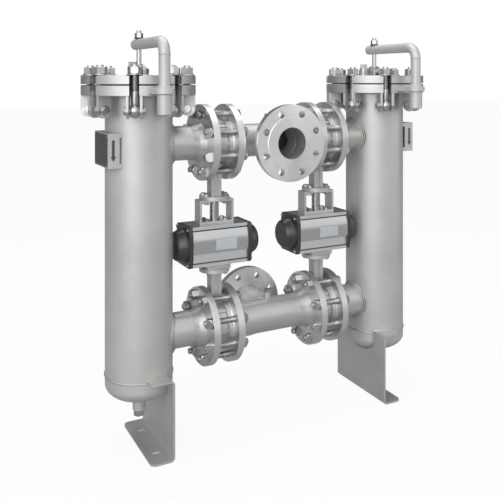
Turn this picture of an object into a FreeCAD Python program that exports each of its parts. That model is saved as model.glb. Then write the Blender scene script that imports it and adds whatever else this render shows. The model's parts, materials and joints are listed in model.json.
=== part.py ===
import FreeCAD, Part
import Sketcher
import math
import os
import re

# Duplex strainer: two basket strainers side by side, joined by two flanged lines.
# Each line has a butterfly valve before either vessel, and one pneumatic actuator
# turns the upper and the lower valve of its vessel together.
# Millimetres, +Z up. The origin is on the floor, midway between the two vessels.
# The left half is modelled, and the right half is its mirror image in the plane x = 0.

SIZES = {
    # vessels: 6 inch pipe with a dished end, standing on bent plate brackets
    "vessel_offset": "366",
    "shell_radius": "84.15",
    "shell_wall": "3.4",
    "shell_bottom": "186",
    "cap_skirt": "23",
    "cap_depth": "42",
    "drain_radius": "16",
    "drain_bore": "9",
    "drain_length": "30",
    "drain_plug_flats": "24",
    "drain_plug_height": "15",
    "plug_thread": "12",
    # cover and body flange, with eight hinged eye bolts
    "cover_radius": "142.5",
    "rim_chamfer": "1.2",
    "flange_seat": "903",
    "body_flange_thickness": "25",
    "gasket_thickness": "2.5",
    "gasket_width": "16",
    "cover_thickness": "22",
    "bolt_circle": "120",
    "bolt_radius": "10",
    "bolt_slot": "11.5",
    "eye_radius": "17",
    "eye_width": "21",
    "hinge_pin_radius": "7",
    "hinge_play": "0.1",
    "hinge_drop": "35",
    "hinge_pin_half": "22",
    "hinge_head_flats": "19",
    "hinge_head_height": "5",
    "hinge_washer_radius": "11.5",
    "hinge_washer_thickness": "2.2",
    "lug_inner": "105",
    "lug_outer": "141",
    "lug_thickness": "6.5",
    "lug_gap": "13",
    "washer_radius": "18.5",
    "washer_thickness": "3",
    "nut_flats": "30",
    "nut_height": "16",
    "washer_play": "0.3",
    "run_out_play": "0.15",
    "run_out_width": "39",
    "bolt_end": "5",
    # basket
    "basket_radius": "66",
    "basket_wall": "2",
    "basket_depth": "500",
    "basket_rim": "8",
    "basket_play": "1",
    "basket_seat_drop": "203",
    "basket_seat_width": "12",
    "basket_seat_thickness": "8",
    "basket_window_start": "22",
    "basket_window_pitch": "76",
    "basket_window_height": "56",
    "basket_window_width": "30",
    "bail_radius": "4",
    # cover lifting davit
    "davit_reach": "185",
    "davit_radius": "13.45",
    "davit_wall": "2.3",
    "davit_rise": "77.5",
    "davit_bend": "30",
    "davit_overhang": "27",
    "socket_radius": "17",
    "socket_bottom": "837",
    "socket_top": "903",
    "socket_clearance": "0.3",
    "socket_plate_radius": "24",
    "socket_plate_thickness": "13",
    "socket_plate_drop": "6",
    "rod_radius": "6",
    "rod_rise": "35",
    "rod_clearance": "0.3",
    "rod_eye_radius": "11",
    "rod_eye_width": "13",
    "ear_thickness": "7",
    "ear_radius": "14",
    "ear_pin_radius": "5",
    "ear_pin_half": "18",
    "lift_nut_flats": "18",
    "lift_nut_height": "12",
    "lift_washer_radius": "12",
    "lift_washer_thickness": "3",
    "vent_back": "52",
    "vent_radius": "12",
    "vent_height": "24",
    "vent_plug_flats": "19",
    "vent_plug_height": "11",
    # pipe, tees and welding neck flanges, 3 inch
    "lower_line": "271",
    "pipe_radius": "44.45",
    "pipe_wall": "3.2",
    "tee_reach": "86",
    "branch_step": "0.2",
    "neck_length": "50",
    "neck_radius": "52.5",
    "neck_land": "9",
    "flange_radius": "100",
    "flange_thickness": "20",
    "raised_face_radius": "69",
    "raised_face_height": "2",
    "flange_bolt_circle": "80",
    "flange_hole_radius": "9",
    "flange_bolts": "8",
    "stud_radius": "8",
    "stud_end": "4",
    "stud_nut_flats": "24",
    "stud_nut_height": "14",
    "boss_radius": "10",
    "boss_bore": "5",
    "boss_top": "62",
    "boss_plug_flats": "14",
    "boss_plug_height": "8",
    # butterfly valves
    "valve_length": "46",
    "valve_radius": "66",
    "liner_radius": "44",
    "seat_radius": "40",
    "disc_gap": "0.4",
    "disc_hub": "7",
    "disc_hub_radius": "13.3",
    "disc_edge": "2.5",
    "stem_radius": "7",
    "stem_play": "0.1",
    "stem_foot": "54",
    "stem_pocket": "57",
    "stem_head": "16",
    "valve_height": "151",
    "valve_rim": "9",
    "valve_waist": "59",
    "valve_rib": "6",
    "valve_pad_radius": "40",
    "valve_pad_thickness": "10",
    "valve_neck_width": "29",
    "valve_neck_depth": "29",
    "valve_neck_core": "22",
    "valve_neck_rib": "9",
    # actuator
    "adaptor_thickness": "13",
    "adaptor_width": "66",
    "actuator_length": "156",
    "actuator_height": "104",
    "actuator_half_depth": "46",
    "actuator_pad": "40",
    "actuator_rail": "8.5",
    "actuator_groove": "3.5",
    "groove_depth": "2.5",
    "barrel_top": "26",
    "barrel_bottom": "17",
    "barrel_step": "2",
    "end_cap_shoulder": "28",
    "cylinder_radius": "38",
    "end_cap_length": "38",
    "end_cap_plate": "11",
    "end_cap_dome": "44",
    "end_cap_face": "32",
    "end_cap_edge": "5",
    "end_cap_wall": "4",
    "piston_length": "14",
    "piston_play": "0.3",
    "piston_start": "50",
    "rack_back": "30",
    "rack_height": "28",
    "rack_reach": "38",
    "pinion_teeth": "16",
    "pinion_height": "30",
    "tooth_module": "2",
    "tooth_addendum": "1.7",
    "tooth_dedendum": "2.5",
    "tooth_backlash": "0.5",
    "pressure_angle": "20",
    "pinion_shaft": "10",
    "shaft_play": "0.1",
    "yoke_height": "62",
    "yoke_width": "97",
    "yoke_depth": "36",
    "yoke_plate": "6",
    "coupling_radius": "12",
    "coupling_length": "42",
    # support brackets
    "bracket_web": "53",
    "bracket_depth": "59",
    "bracket_half_width": "115",
    "bracket_plate": "5",
    "bracket_height": "194",
    "bracket_corner": "14",
    "bracket_bend": "7",
    "foot_slot_x": "23",
    "foot_slot_y": "61",
    "foot_slot_radius": "5.5",
    "foot_slot_length": "24",
    # plate carrier on the vessel
    "carrier_bottom": "704",
    "carrier_height": "84",
    "carrier_half_width": "60",
    "carrier_reach": "96",
    "carrier_sheet": "3",
    "carrier_window": "8",
    "carrier_tab": "11",
    "plate_thickness": "1",
    "plate_margin": "3",
}

# Places worked out from the sizes, so that each level is written once.
PLACES = {
    "cap_tangent": "shell_bottom - cap_skirt",
    "cap_bottom": "shell_bottom - cap_skirt - cap_depth",
    "seat_bottom": "flange_seat - body_flange_thickness",
    "cover_bottom": "flange_seat + gasket_thickness",
    "cover_top": "flange_seat + gasket_thickness + cover_thickness",
    "hinge_height": "flange_seat - body_flange_thickness - hinge_drop",
    "basket_top": "flange_seat - basket_seat_drop",
    "davit_height": "flange_seat + gasket_thickness + cover_thickness + davit_rise",
    "rod_top": "flange_seat + gasket_thickness + cover_thickness + davit_rise + rod_rise",
    "adaptor_bottom": "lower_line + valve_height",
    "actuator_bottom": "lower_line + valve_height + adaptor_thickness",
    "actuator_top": "lower_line + valve_height + adaptor_thickness + actuator_height",
    "upper_line": "lower_line + 2 * valve_height + adaptor_thickness + actuator_height + yoke_height",
    "inner_face": "tee_reach + neck_length",
    "valve_offset": "tee_reach + neck_length + valve_length / 2",
    "outer_face": "tee_reach + neck_length + valve_length",
    "pitch_radius": "pinion_teeth * tooth_module / 2",
    "base_radius": "pinion_teeth * tooth_module / 2 * cos(pressure_angle)",
    "tooth_pitch": "pi * tooth_module",
    "coupling_bottom": "lower_line + valve_height + adaptor_thickness + actuator_height"
                       " + (yoke_height - coupling_length) / 2",
    "actuator_middle": "lower_line + valve_height + adaptor_thickness + actuator_height / 2",
}

doc = FreeCAD.newDocument("duplex_strainer")


def write_sheet(name, cells):
    """A spreadsheet with one named cell for each entry."""
    sheet = doc.addObject("Spreadsheet::Sheet", name)
    for row, (alias, text) in enumerate(cells.items(), 1):
        sheet.set(f"A{row}", alias)
        sheet.set(f"B{row}", text)
        sheet.setAlias(f"B{row}", alias)
    doc.recompute()
    return sheet


def named(text):
    """An expression in which every size and place is found in its sheet."""
    def point(match):
        word = match.group()
        if word in SIZES:
            return "sizes." + word
        return "places." + word if word in PLACES else word
    return re.sub(r"[a-z][a-z_]*", point, str(text))


sizes = write_sheet("sizes", SIZES)
places = write_sheet("places", {alias: "=" + named(text) for alias, text in PLACES.items()})


def value(text):
    """The number that an expression has now."""
    result = sizes.evalExpression(named(text))
    return float(getattr(result, "Value", result))


UPRIGHT = FreeCAD.Rotation()
BEND = FreeCAD.Rotation(FreeCAD.Vector(0, -1, 0), FreeCAD.Vector(0, 0, 1), FreeCAD.Vector(-1, 0, 0), "XYZ")
TO_X = FreeCAD.Rotation(FreeCAD.Vector(0, 1, 0), 90)
TO_Y = FreeCAD.Rotation(FreeCAD.Vector(1, 0, 0), -90)
TO_MINUS_X = FreeCAD.Rotation(FreeCAD.Vector(0, 1, 0), -90)
TO_MINUS_Y = FreeCAD.Rotation(FreeCAD.Vector(1, 0, 0), 90)
UPSIDE_DOWN = FreeCAD.Rotation(FreeCAD.Vector(1, 0, 0), 180)
ORIGIN = ("0", "0", "0")


def about_z(degrees):
    return FreeCAD.Rotation(FreeCAD.Vector(0, 0, 1), degrees)


def bind(item, **expressions):
    """Ties each property of an object to an expression."""
    for path, text in expressions.items():
        item.setExpression(path, named(text))
    return item


def put(item, at, turn=UPRIGHT):
    """Turns an object and ties its place to three expressions."""
    item.Placement = FreeCAD.Placement(FreeCAD.Vector(*[value(text) for text in at]), turn)
    for letter, text in zip("xyz", at):
        item.setExpression("Placement.Base." + letter, named(text))
    return item


def cylinder(radius, length, at=ORIGIN, turn=UPRIGHT):
    item = bind(doc.addObject("Part::Cylinder", "cylinder"), Radius=radius, Height=length)
    return put(item, at, turn)


def box(length, width, height, at=ORIGIN, turn=UPRIGHT):
    item = bind(doc.addObject("Part::Box", "block"), Length=length, Width=width, Height=height)
    return put(item, at, turn)


def hexagon(flats, height, at=ORIGIN, turn=UPRIGHT):
    """A six-sided prism, such as a nut's body."""
    item = doc.addObject("Part::Prism", "hexagon")
    item.Polygon = 6
    bind(item, Circumradius=f"({flats}) / sqrt(3)", Height=height)
    return put(item, at, turn)


def cut(base, *tools):
    item = doc.addObject("Part::Cut", "cut")
    item.Base = base
    item.Tool = tools[0] if len(tools) == 1 else fuse(*tools)
    return item


def fuse(*shapes):
    item = doc.addObject("Part::MultiFuse", "fuse")
    item.Shapes = list(shapes)
    item.Refine = True
    return item


def group(*shapes):
    """Separate solids kept together as one node."""
    item = doc.addObject("Part::Compound", "group")
    item.Links = list(shapes)
    return item


def mirror(shape):
    """The right half's copy of a left half's piece."""
    item = doc.addObject("Part::Mirroring", "mirror")
    item.Source = shape
    item.Base = FreeCAD.Vector(0, 0, 0)
    item.Normal = FreeCAD.Vector(1, 0, 0)
    return item


def add_outline(body, points, role):
    """A closed sketch through the given points, each tied to its two expressions."""
    sketch = body.newObject("Sketcher::SketchObject", "outline")
    plane = next(feature for feature in body.Origin.OriginFeatures if feature.Role == role)
    sketch.AttachmentSupport = [(plane, "")]
    sketch.MapMode = "FlatFace"
    corners = [FreeCAD.Vector(value(across), value(up), 0) for across, up in points]
    count = len(corners)
    for index in range(count):
        sketch.addGeometry(Part.LineSegment(corners[index], corners[(index + 1) % count]))
    for index in range(count):
        sketch.addConstraint(Sketcher.Constraint("Coincident", index, 2, (index + 1) % count, 1))
    for index, (across, up) in enumerate(points):
        for kind, text, size in (("DistanceX", across, corners[index].x),
                                 ("DistanceY", up, corners[index].y)):
            number = sketch.addConstraint(Sketcher.Constraint(kind, -1, 1, index, 1, size))
            sketch.renameConstraint(number, f"{kind[-1].lower()}{index}")
            sketch.setExpression(f"Constraints.{kind[-1].lower()}{index}", named(text))
    return sketch


def turned(points, axis="V_Axis", role="XZ_Plane"):
    """A body turned on a lathe: the half section is revolved about one sketch axis."""
    body = doc.addObject("PartDesign::Body", "turned")
    sketch = add_outline(body, points, role)
    feature = body.newObject("PartDesign::Revolution", "revolution")
    feature.Profile = sketch
    feature.ReferenceAxis = (sketch, [axis])
    feature.Angle = 360
    return body


def plate(points, thickness, role="XY_Plane"):
    """A body cut from plate: an outline padded evenly to both sides of its plane."""
    body = doc.addObject("PartDesign::Body", "plate")
    sketch = add_outline(body, points, role)
    feature = body.newObject("PartDesign::Pad", "pad")
    feature.Profile = sketch
    feature.SideType = "Symmetric"
    feature.setExpression("Length", named(thickness))
    return body


nodes = {}


def node(name, shape):
    """Names a finished piece. Its label is also its file's name."""
    shape.Label = name
    nodes[name] = shape
    return shape


def pair(name, shape):
    """A left piece and its mirror image, as two nodes."""
    node(name + "_left", shape)
    node(name + "_right", mirror(shape))


def both(name, shape):
    """A left piece and its mirror image, as two solids of one node."""
    node(name, group(shape, mirror(shape)))


VESSEL = "-vessel_offset"
VALVE = "-valve_offset"
SHELL_BORE = "shell_radius - shell_wall"
PIPE_BORE = "pipe_radius - pipe_wall"


def shell_outside():
    """The plain outside of the shell and its dished end, as one solid."""
    return fuse(
        cylinder("shell_radius", "flange_seat - cap_tangent", (VESSEL, "0", "cap_tangent")),
        dome("shell_radius", "cap_depth"))


def make_vessel():
    """Three welded pieces: shell with its basket ledge, dished end with its drain, slotted flange."""
    foot = (VESSEL, "0", "shell_bottom")
    shell = cut(
        cylinder("shell_radius", "seat_bottom - shell_bottom", foot),
        cylinder(SHELL_BORE, "seat_bottom - shell_bottom", foot),
        cylinder(PIPE_BORE, "shell_radius + 1", (VESSEL, "0", "lower_line"), TO_X),
        cylinder(PIPE_BORE, "shell_radius + 1", (VESSEL, "0", "upper_line"), TO_X))
    under = (VESSEL, "0", "basket_top - basket_rim - basket_seat_thickness")
    ledge = cut(
        cylinder("shell_radius - shell_wall / 2", "basket_seat_thickness", under),
        cylinder(f"{SHELL_BORE} - basket_seat_width", "basket_seat_thickness", under))
    drain_foot = (VESSEL, "0", "cap_bottom - drain_length")
    dished_end = cut(
        fuse(cylinder("shell_radius", "cap_skirt", (VESSEL, "0", "cap_tangent")),
             dome("shell_radius", "cap_depth"),
             cylinder("drain_radius", "drain_length + cap_depth / 2", drain_foot)),
        cylinder(SHELL_BORE, "cap_skirt", (VESSEL, "0", "cap_tangent")),
        dome(SHELL_BORE, "cap_depth - shell_wall"),
        cylinder("drain_bore", "drain_length + cap_depth", drain_foot))
    flange = cut(
        cover_disc("seat_bottom", "body_flange_thickness"),
        cylinder(SHELL_BORE, "body_flange_thickness", (VESSEL, "0", "seat_bottom")))
    pair("vessel", group(fuse(shell, ledge), dished_end, flange))


def dome(radius, depth):
    """The lower half of a flattened sphere, standing at the foot of the shell."""
    item = doc.addObject("Part::Ellipsoid", "dome")
    bind(item, Radius1=depth, Radius2=radius, Radius3=radius)
    item.Angle2 = 0
    return put(item, (VESSEL, "0", "cap_tangent"))


BOLT_ANGLES = [22.5 + 45 * step for step in range(8)]


def cover_disc(bottom, thickness):
    """A round plate with broken edges and a slot, open at the rim, for each eye bolt."""
    disc = put(turned([
        ("0", "0"), ("cover_radius - rim_chamfer", "0"), ("cover_radius", "rim_chamfer"),
        ("cover_radius", f"{thickness} - rim_chamfer"), ("cover_radius - rim_chamfer", thickness),
        ("0", thickness)]), (VESSEL, "0", bottom))
    slots = []
    for angle in BOLT_ANGLES:
        slot = fuse(
            cylinder("bolt_slot", f"{thickness} + 2", ("bolt_circle", "0", "-1")),
            box("cover_radius", "2 * bolt_slot", f"{thickness} + 2",
                ("bolt_circle", "-bolt_slot", "-1")))
        slots.append(put(slot, (VESSEL, "0", bottom), about_z(angle)))
    return cut(disc, *slots)


def make_cover():
    """The cover, with its vent and plug, and the lifting rod on a pin between two ears.

    Beside each slot the cover's top is milled to an arc about the bolt's hinge,
    so that the nut swings clear.
    """
    pin_height = "cover_top + ear_radius"
    ears = []
    for side in ("-rod_eye_width / 2 - ear_thickness", "rod_eye_width / 2"):
        ear = fuse(
            cylinder("ear_radius", "ear_thickness", (f"{VESSEL} + {side}", "0", pin_height), TO_X),
            box("ear_thickness", "2 * ear_radius", "ear_radius",
                (f"{VESSEL} + {side}", "-ear_radius", "cover_top")))
        ears.append(ear)
    run_outs = []
    for angle in BOLT_ANGLES:
        milled = cut(
            box("cover_radius", "run_out_width", "cover_thickness",
                ("bolt_circle", "-run_out_width / 2", "cover_top - cover_thickness / 2")),
            cylinder("cover_top + run_out_play - hinge_height", "2 * run_out_width",
                     ("bolt_circle", "-run_out_width", "hinge_height"), TO_Y))
        run_outs.append(put(group(milled), (VESSEL, "0", "0"), about_z(angle)))
    disc = cut(cover_disc("cover_bottom", "cover_thickness"), *run_outs)
    vent = cylinder("vent_radius", "vent_height", (VESSEL, "vent_back", "cover_top"))
    pin_hole = cylinder("ear_pin_radius", "2 * ear_pin_half",
                        (f"{VESSEL} - ear_pin_half", "0", pin_height), TO_X)
    cover = cut(fuse(disc, vent, *ears), pin_hole)
    plug = hexagon("vent_plug_flats", "vent_plug_height",
                   (VESSEL, "vent_back", "cover_top + vent_height"))
    pair("cover", group(cover, plug))
    rod_foot = "cover_top + ear_radius"
    eye = cylinder("rod_eye_radius", "rod_eye_width - 2 * rod_clearance",
                   (f"{VESSEL} - rod_eye_width / 2 + rod_clearance", "0", rod_foot), TO_X)
    rod = cylinder("rod_radius", f"rod_top - ({rod_foot})", (VESSEL, "0", rod_foot))
    bored = cut(fuse(eye, rod), cylinder("ear_pin_radius", "2 * ear_pin_half",
                                         (f"{VESSEL} - ear_pin_half", "0", rod_foot), TO_X))
    pin = cylinder("ear_pin_radius", "2 * ear_pin_half", (f"{VESSEL} - ear_pin_half", "0", rod_foot), TO_X)
    both("lifting_rods", group(bored, pin))


def make_gasket():
    ring = cut(
        cylinder("shell_radius + gasket_width", "gasket_thickness", (VESSEL, "0", "flange_seat")),
        cylinder("shell_radius", "gasket_thickness", (VESSEL, "0", "flange_seat")))
    both("cover_gaskets", ring)


def make_bolt_lugs():
    """Under the flange, two ears and a pin carry each eye bolt."""
    lugs = []
    for angle in BOLT_ANGLES:
        ears = []
        for side in ("lug_gap", "-lug_gap - lug_thickness"):
            ears.append(fuse(
                box("lug_outer - lug_inner", "lug_thickness", "hinge_drop",
                    ("lug_inner", side, "-hinge_drop")),
                cylinder("(lug_outer - lug_inner) / 2", "lug_thickness",
                         ("(lug_outer + lug_inner) / 2", side, "-hinge_drop"), TO_Y)))
        pin = cylinder("hinge_pin_radius", "2 * hinge_pin_half",
                       ("bolt_circle", "-hinge_pin_half", "-hinge_drop"), TO_Y)
        cheek = "lug_gap + lug_thickness"
        washers = [
            cylinder("hinge_washer_radius", "hinge_washer_thickness",
                     ("bolt_circle", start, "-hinge_drop"), TO_Y)
            for start in (cheek, f"-({cheek}) - hinge_washer_thickness")]
        heads = [
            hexagon("hinge_head_flats", "hinge_head_height", ("bolt_circle", start, "-hinge_drop"), TO_Y)
            for start in (f"{cheek} + hinge_washer_thickness",
                          f"-({cheek}) - hinge_washer_thickness - hinge_head_height")]
        lugs.append(put(fuse(pin, *ears, *washers, *heads), (VESSEL, "0", "seat_bottom"), about_z(angle)))
    pair("bolt_lugs", group(*lugs))


def make_swing_bolts():
    """Eye bolt, washer and nut, hinged on the pin of each pair of lugs."""
    washer_height = "cover_top + washer_play"
    for number, angle in enumerate(BOLT_ANGLES, 1):
        eye = doc.addObject("Part::Sphere", "ball_eye")
        bind(eye, Radius="eye_radius", Angle1="-asin(eye_width / (2 * eye_radius))",
             Angle2="asin(eye_width / (2 * eye_radius))")
        put(eye, ("bolt_circle", "0", "hinge_height"), TO_Y)
        length = f"{washer_height} + washer_thickness + nut_height + bolt_end - hinge_height"
        shank = cylinder("bolt_radius", length, ("bolt_circle", "0", "hinge_height"))
        hole = cylinder("hinge_pin_radius + hinge_play", "2 * eye_width",
                        ("bolt_circle", "-eye_width", "hinge_height"), TO_Y)
        bolt = cut(fuse(eye, shank), hole)
        washer = cylinder("washer_radius", "washer_thickness", ("bolt_circle", "0", washer_height))
        nut = hexagon("nut_flats", "nut_height", ("bolt_circle", "0", f"{washer_height} + washer_thickness"))
        bored = [cut(ring, cylinder("bolt_radius", length, ("bolt_circle", "0", "hinge_height")))
                 for ring in (washer, nut)]
        assembly = group(bolt, *bored)
        put(assembly, (VESSEL, "0", "0"), about_z(angle))
        node(f"swing_bolt_left_{number}", assembly)
        node(f"swing_bolt_right_{number}", mirror(assembly))


def make_basket():
    """A perforated basket hung by its rim on a ledge in the shell, with a bail handle."""
    inside = "basket_radius - basket_wall"
    wall = turned([
        (inside, "basket_wall"), ("0", "basket_wall"), ("0", "0"), ("basket_radius", "0"),
        ("basket_radius", "basket_depth - basket_rim"),
        ("shell_radius - shell_wall - basket_play", "basket_depth - basket_rim"),
        ("shell_radius - shell_wall - basket_play", "basket_depth"), (inside, "basket_depth")])
    put(wall, (VESSEL, "0", "basket_top - basket_depth"))
    windows = []
    rows = int(value("(basket_depth - basket_rim - basket_window_start) / basket_window_pitch"))
    for row in range(rows):
        low = f"basket_window_start + {row} * basket_window_pitch"
        for angle in (0, 60, 120):
            opening = box("2 * shell_radius", "basket_window_width", "basket_window_height",
                          ("-shell_radius", "-basket_window_width / 2", low))
            windows.append(put(group(opening), (VESSEL, "0", "basket_top - basket_depth"), about_z(angle)))
    hoop = doc.addObject("Part::Torus", "bail")
    bind(hoop, Radius1="basket_radius - bail_radius", Radius2="bail_radius")
    hoop.Angle3 = 180
    put(hoop, (VESSEL, "0", "basket_top - basket_rim / 2"), TO_MINUS_Y)
    pair("basket", fuse(cut(wall, *windows), hoop))


def make_davit():
    """A pipe post and arm over the cover, in a socket on the body flange."""
    bore = "davit_radius - davit_wall"
    post_y = "-davit_reach"
    arm_y = "-davit_reach + davit_bend"

    def bent_bar(radius, overhang):
        elbow = doc.addObject("Part::Torus", "elbow")
        bind(elbow, Radius1="davit_bend", Radius2=radius)
        elbow.Angle3 = 90
        put(elbow, (VESSEL, arm_y, "davit_height - davit_bend"), BEND)
        return fuse(
            cylinder(radius, "davit_height - davit_bend - socket_bottom", (VESSEL, post_y, "socket_bottom")),
            elbow,
            cylinder(radius, f"davit_reach - davit_bend + {overhang}",
                     (VESSEL, arm_y, "davit_height"), TO_Y))

    rod_hole = cylinder("rod_radius + rod_clearance", "4 * davit_radius",
                        (VESSEL, "0", "davit_height - 2 * davit_radius"))
    both("davit_arms", cut(
        bent_bar("davit_radius", "davit_overhang"),
        bent_bar(bore, "davit_overhang - davit_wall"), rod_hole))
    plate_bottom = "socket_top - socket_plate_drop - socket_plate_thickness"
    socket = fuse(
        cylinder("socket_radius", "socket_top - socket_bottom", (VESSEL, post_y, "socket_bottom")),
        cylinder("socket_plate_radius", "socket_plate_thickness", (VESSEL, post_y, plate_bottom)),
        box("2 * socket_plate_radius", "davit_reach - cover_radius / 2", "socket_plate_thickness",
            (f"{VESSEL} - socket_plate_radius", post_y, plate_bottom)))
    both("davit_sockets", cut(
        socket,
        cylinder("cover_radius", "socket_plate_thickness", (VESSEL, "0", plate_bottom)),
        cylinder("davit_radius + socket_clearance", "socket_top - socket_bottom",
                 (VESSEL, post_y, "socket_bottom"))))
    washer_height = "davit_height + davit_radius"
    washer = cylinder("lift_washer_radius", "lift_washer_thickness", (VESSEL, "0", washer_height))
    nut = hexagon("lift_nut_flats", "lift_nut_height",
                  (VESSEL, "0", f"{washer_height} + lift_washer_thickness"))
    rod = cylinder("rod_radius", "rod_top", (VESSEL, "0", "0"))
    both("lifting_nuts", cut(fuse(washer, nut), rod))


def welding_neck(at, turn):
    """A flange with its neck: its face is at the given point and its pipe end lies along the turn."""
    body = turned([
        (PIPE_BORE, "0"), ("raised_face_radius", "0"), ("raised_face_radius", "raised_face_height"),
        ("flange_radius", "raised_face_height"), ("flange_radius", "flange_thickness"),
        ("neck_radius", "flange_thickness"), ("pipe_radius", "neck_length - neck_land"),
        ("pipe_radius", "neck_length"), (PIPE_BORE, "neck_length")])
    return cut(put(body, at, turn), bolt_ring("flange_hole_radius", "flange_thickness", at, turn))


def bolt_ring(radius, length, at, turn):
    """One cylinder for each flange bolt, evenly between the flange's two centre lines."""
    ring = []
    for step in range(int(value("flange_bolts"))):
        angle = f"360 / flange_bolts * ({step} + 0.5)"
        ring.append(cylinder(radius, length, (
            f"flange_bolt_circle * cos({angle})", f"flange_bolt_circle * sin({angle})", "0")))
    return put(group(*ring), at, turn)


def make_tee(name, level, away):
    """A tee on the centre line with a plugged boss on top, and a welding neck on each of its ends.

    The branch is a little narrower than the run, as where a drawn branch meets it.
    """
    side = TO_Y if away == "-" else TO_MINUS_Y
    run_end = ("-tee_reach", "0", level)
    branch_end = ("0", f"{away}tee_reach", level)
    fitting = cut(
        fuse(cylinder("pipe_radius", "2 * tee_reach", run_end, TO_X),
             cylinder("pipe_radius - branch_step", "tee_reach", branch_end, side),
             cylinder("boss_radius", "boss_top", ("0", "0", level))),
        cylinder(PIPE_BORE, "2 * tee_reach", run_end, TO_X),
        cylinder(f"{PIPE_BORE} - branch_step", "tee_reach", branch_end, side),
        cylinder("boss_bore", "boss_top", ("0", "0", level)))
    node(name, group(
        fitting,
        welding_neck(("-inner_face", "0", level), TO_X),
        welding_neck(("inner_face", "0", level), TO_MINUS_X),
        welding_neck(("0", f"{away}inner_face", level), side)))


def make_nozzles():
    """Two stubs that join the vessel to its upper and lower valve, each with its welding neck."""
    pieces = []
    for level in ("lower_line", "upper_line"):
        pieces.append(cut(
            cylinder("pipe_radius", "vessel_offset - outer_face - neck_length",
                     (VESSEL, "0", level), TO_X),
            cylinder("shell_radius", "flange_seat", (VESSEL, "0", "0")),
            cylinder(PIPE_BORE, "vessel_offset - outer_face", (VESSEL, "0", level), TO_X)))
        pieces.append(welding_neck(("-outer_face", "0", level), TO_MINUS_X))
    pair("nozzles", group(*pieces))


def make_studs():
    """Studs with a nut at each end, through both flanges of every valve."""
    studs = []
    reach = "valve_length / 2 + flange_thickness"
    for level in ("lower_line", "upper_line"):
        for step in range(int(value("flange_bolts"))):
            angle = f"360 / flange_bolts * ({step} + 0.5)"
            place = (f"flange_bolt_circle * cos({angle})", f"flange_bolt_circle * sin({angle})")
            half = f"{reach} + stud_nut_height + stud_end"
            stud = fuse(
                cylinder("stud_radius", f"2 * ({half})", (*place, f"-({half})")),
                hexagon("stud_nut_flats", "stud_nut_height", (*place, reach)),
                hexagon("stud_nut_flats", "stud_nut_height", (*place, f"-({reach}) - stud_nut_height")))
            studs.append(put(stud, (VALVE, "0", level), TO_X))
    both("flange_studs", group(*studs))


def make_valve(name, level, turn, stem_end):
    """A wafer butterfly valve: body with a ribbed neck, rubber liner, and disc on its stem."""
    half = "valve_length / 2"
    neck_height = "valve_height - valve_pad_thickness"
    ribs = []
    for step in range(4):
        rib = box("valve_length", "valve_rib", "2 * valve_radius - valve_rib",
                  (f"-{half}", "-valve_rib / 2", "-valve_radius + valve_rib / 2"))
        ribs.append(put(group(rib), ORIGIN, FreeCAD.Rotation(FreeCAD.Vector(1, 0, 0), 45 * step)))
    groove = "(valve_neck_depth - valve_neck_core) / 2"
    grooves = [box("valve_neck_width - 2 * valve_neck_rib", groove, f"{neck_height} - valve_radius",
                   ("-valve_neck_width / 2 + valve_neck_rib", side, "valve_radius"))
               for side in ("-valve_neck_depth / 2", "valve_neck_core / 2")]
    outside = fuse(
        cylinder("valve_waist", "valve_length", (f"-{half}", "0", "0"), TO_X),
        cylinder("valve_radius", "valve_rim", (f"-{half}", "0", "0"), TO_X),
        cylinder("valve_radius", "valve_rim", (f"{half} - valve_rim", "0", "0"), TO_X),
        box("valve_neck_width", "valve_neck_depth", neck_height,
            ("-valve_neck_width / 2", "-valve_neck_depth / 2", "0")),
        cylinder("valve_pad_radius", "valve_pad_thickness", ("0", "0", neck_height)), *ribs)
    stem_way = cylinder("stem_radius + stem_play", "stem_pocket + valve_height",
                        ("0", "0", "-stem_pocket"))
    inside = cylinder("liner_radius", "valve_length", (f"-{half}", "0", "0"), TO_X)
    body = put(cut(outside, inside, stem_way, *grooves), (VALVE, "0", level), turn)
    pair("valve_body_" + name, body)
    liner = cut(
        cylinder("liner_radius", "valve_length", (f"-{half}", "0", "0"), TO_X),
        cylinder("seat_radius", "valve_length", (f"-{half}", "0", "0"), TO_X),
        stem_way)
    leaf = put(turned([
        ("0", "-disc_hub"), ("disc_hub_radius", "-disc_hub"),
        ("seat_radius - disc_gap", "-disc_edge"), ("seat_radius - disc_gap", "disc_edge"),
        ("disc_hub_radius", "disc_hub"), ("0", "disc_hub")]), ORIGIN, TO_X)
    stem = cylinder("stem_radius", f"stem_foot + {stem_end}", ("0", "0", "-stem_foot"))
    pair("disc_" + name, put(fuse(leaf, stem), (VALVE, "0", level), turn))
    return put(liner, (VALVE, "0", level), turn)


def make_valves():
    lower = make_valve("lower", "lower_line", UPRIGHT,
                       "valve_height + adaptor_thickness + stem_head")
    upper = make_valve("upper", "upper_line", UPSIDE_DOWN,
                       "valve_height + (yoke_height - coupling_length) / 2 + stem_head")
    both("seat_liners", group(lower, upper))


def both_sides(corners):
    """A closed outline from its right side, listed from top to bottom."""
    return corners + [(f"-({across})", up) for across, up in reversed(corners)]


def actuator_outline():
    """The extruded section: a barrel between flat rails, each with a groove beside it."""
    top = "actuator_height / 2"
    rail = f"{top} - actuator_rail"
    foot = f"{rail} - actuator_groove"
    floor = "actuator_pad - groove_depth"
    return both_sides([
        ("actuator_pad", top), ("actuator_pad", rail), (floor, rail), (floor, foot),
        ("actuator_pad", foot), ("actuator_half_depth - barrel_step", "barrel_top"),
        ("actuator_half_depth", "barrel_top / 2"), ("actuator_half_depth", "-barrel_bottom / 2"),
        ("actuator_half_depth - barrel_step", "-barrel_bottom"),
        ("actuator_pad", "-barrel_bottom - barrel_step"),
        ("actuator_pad", f"-({foot})"), (floor, f"-({foot})"), (floor, f"-({rail})"),
        ("actuator_pad", f"-({rail})"), ("actuator_pad", f"-({top})")])


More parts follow.
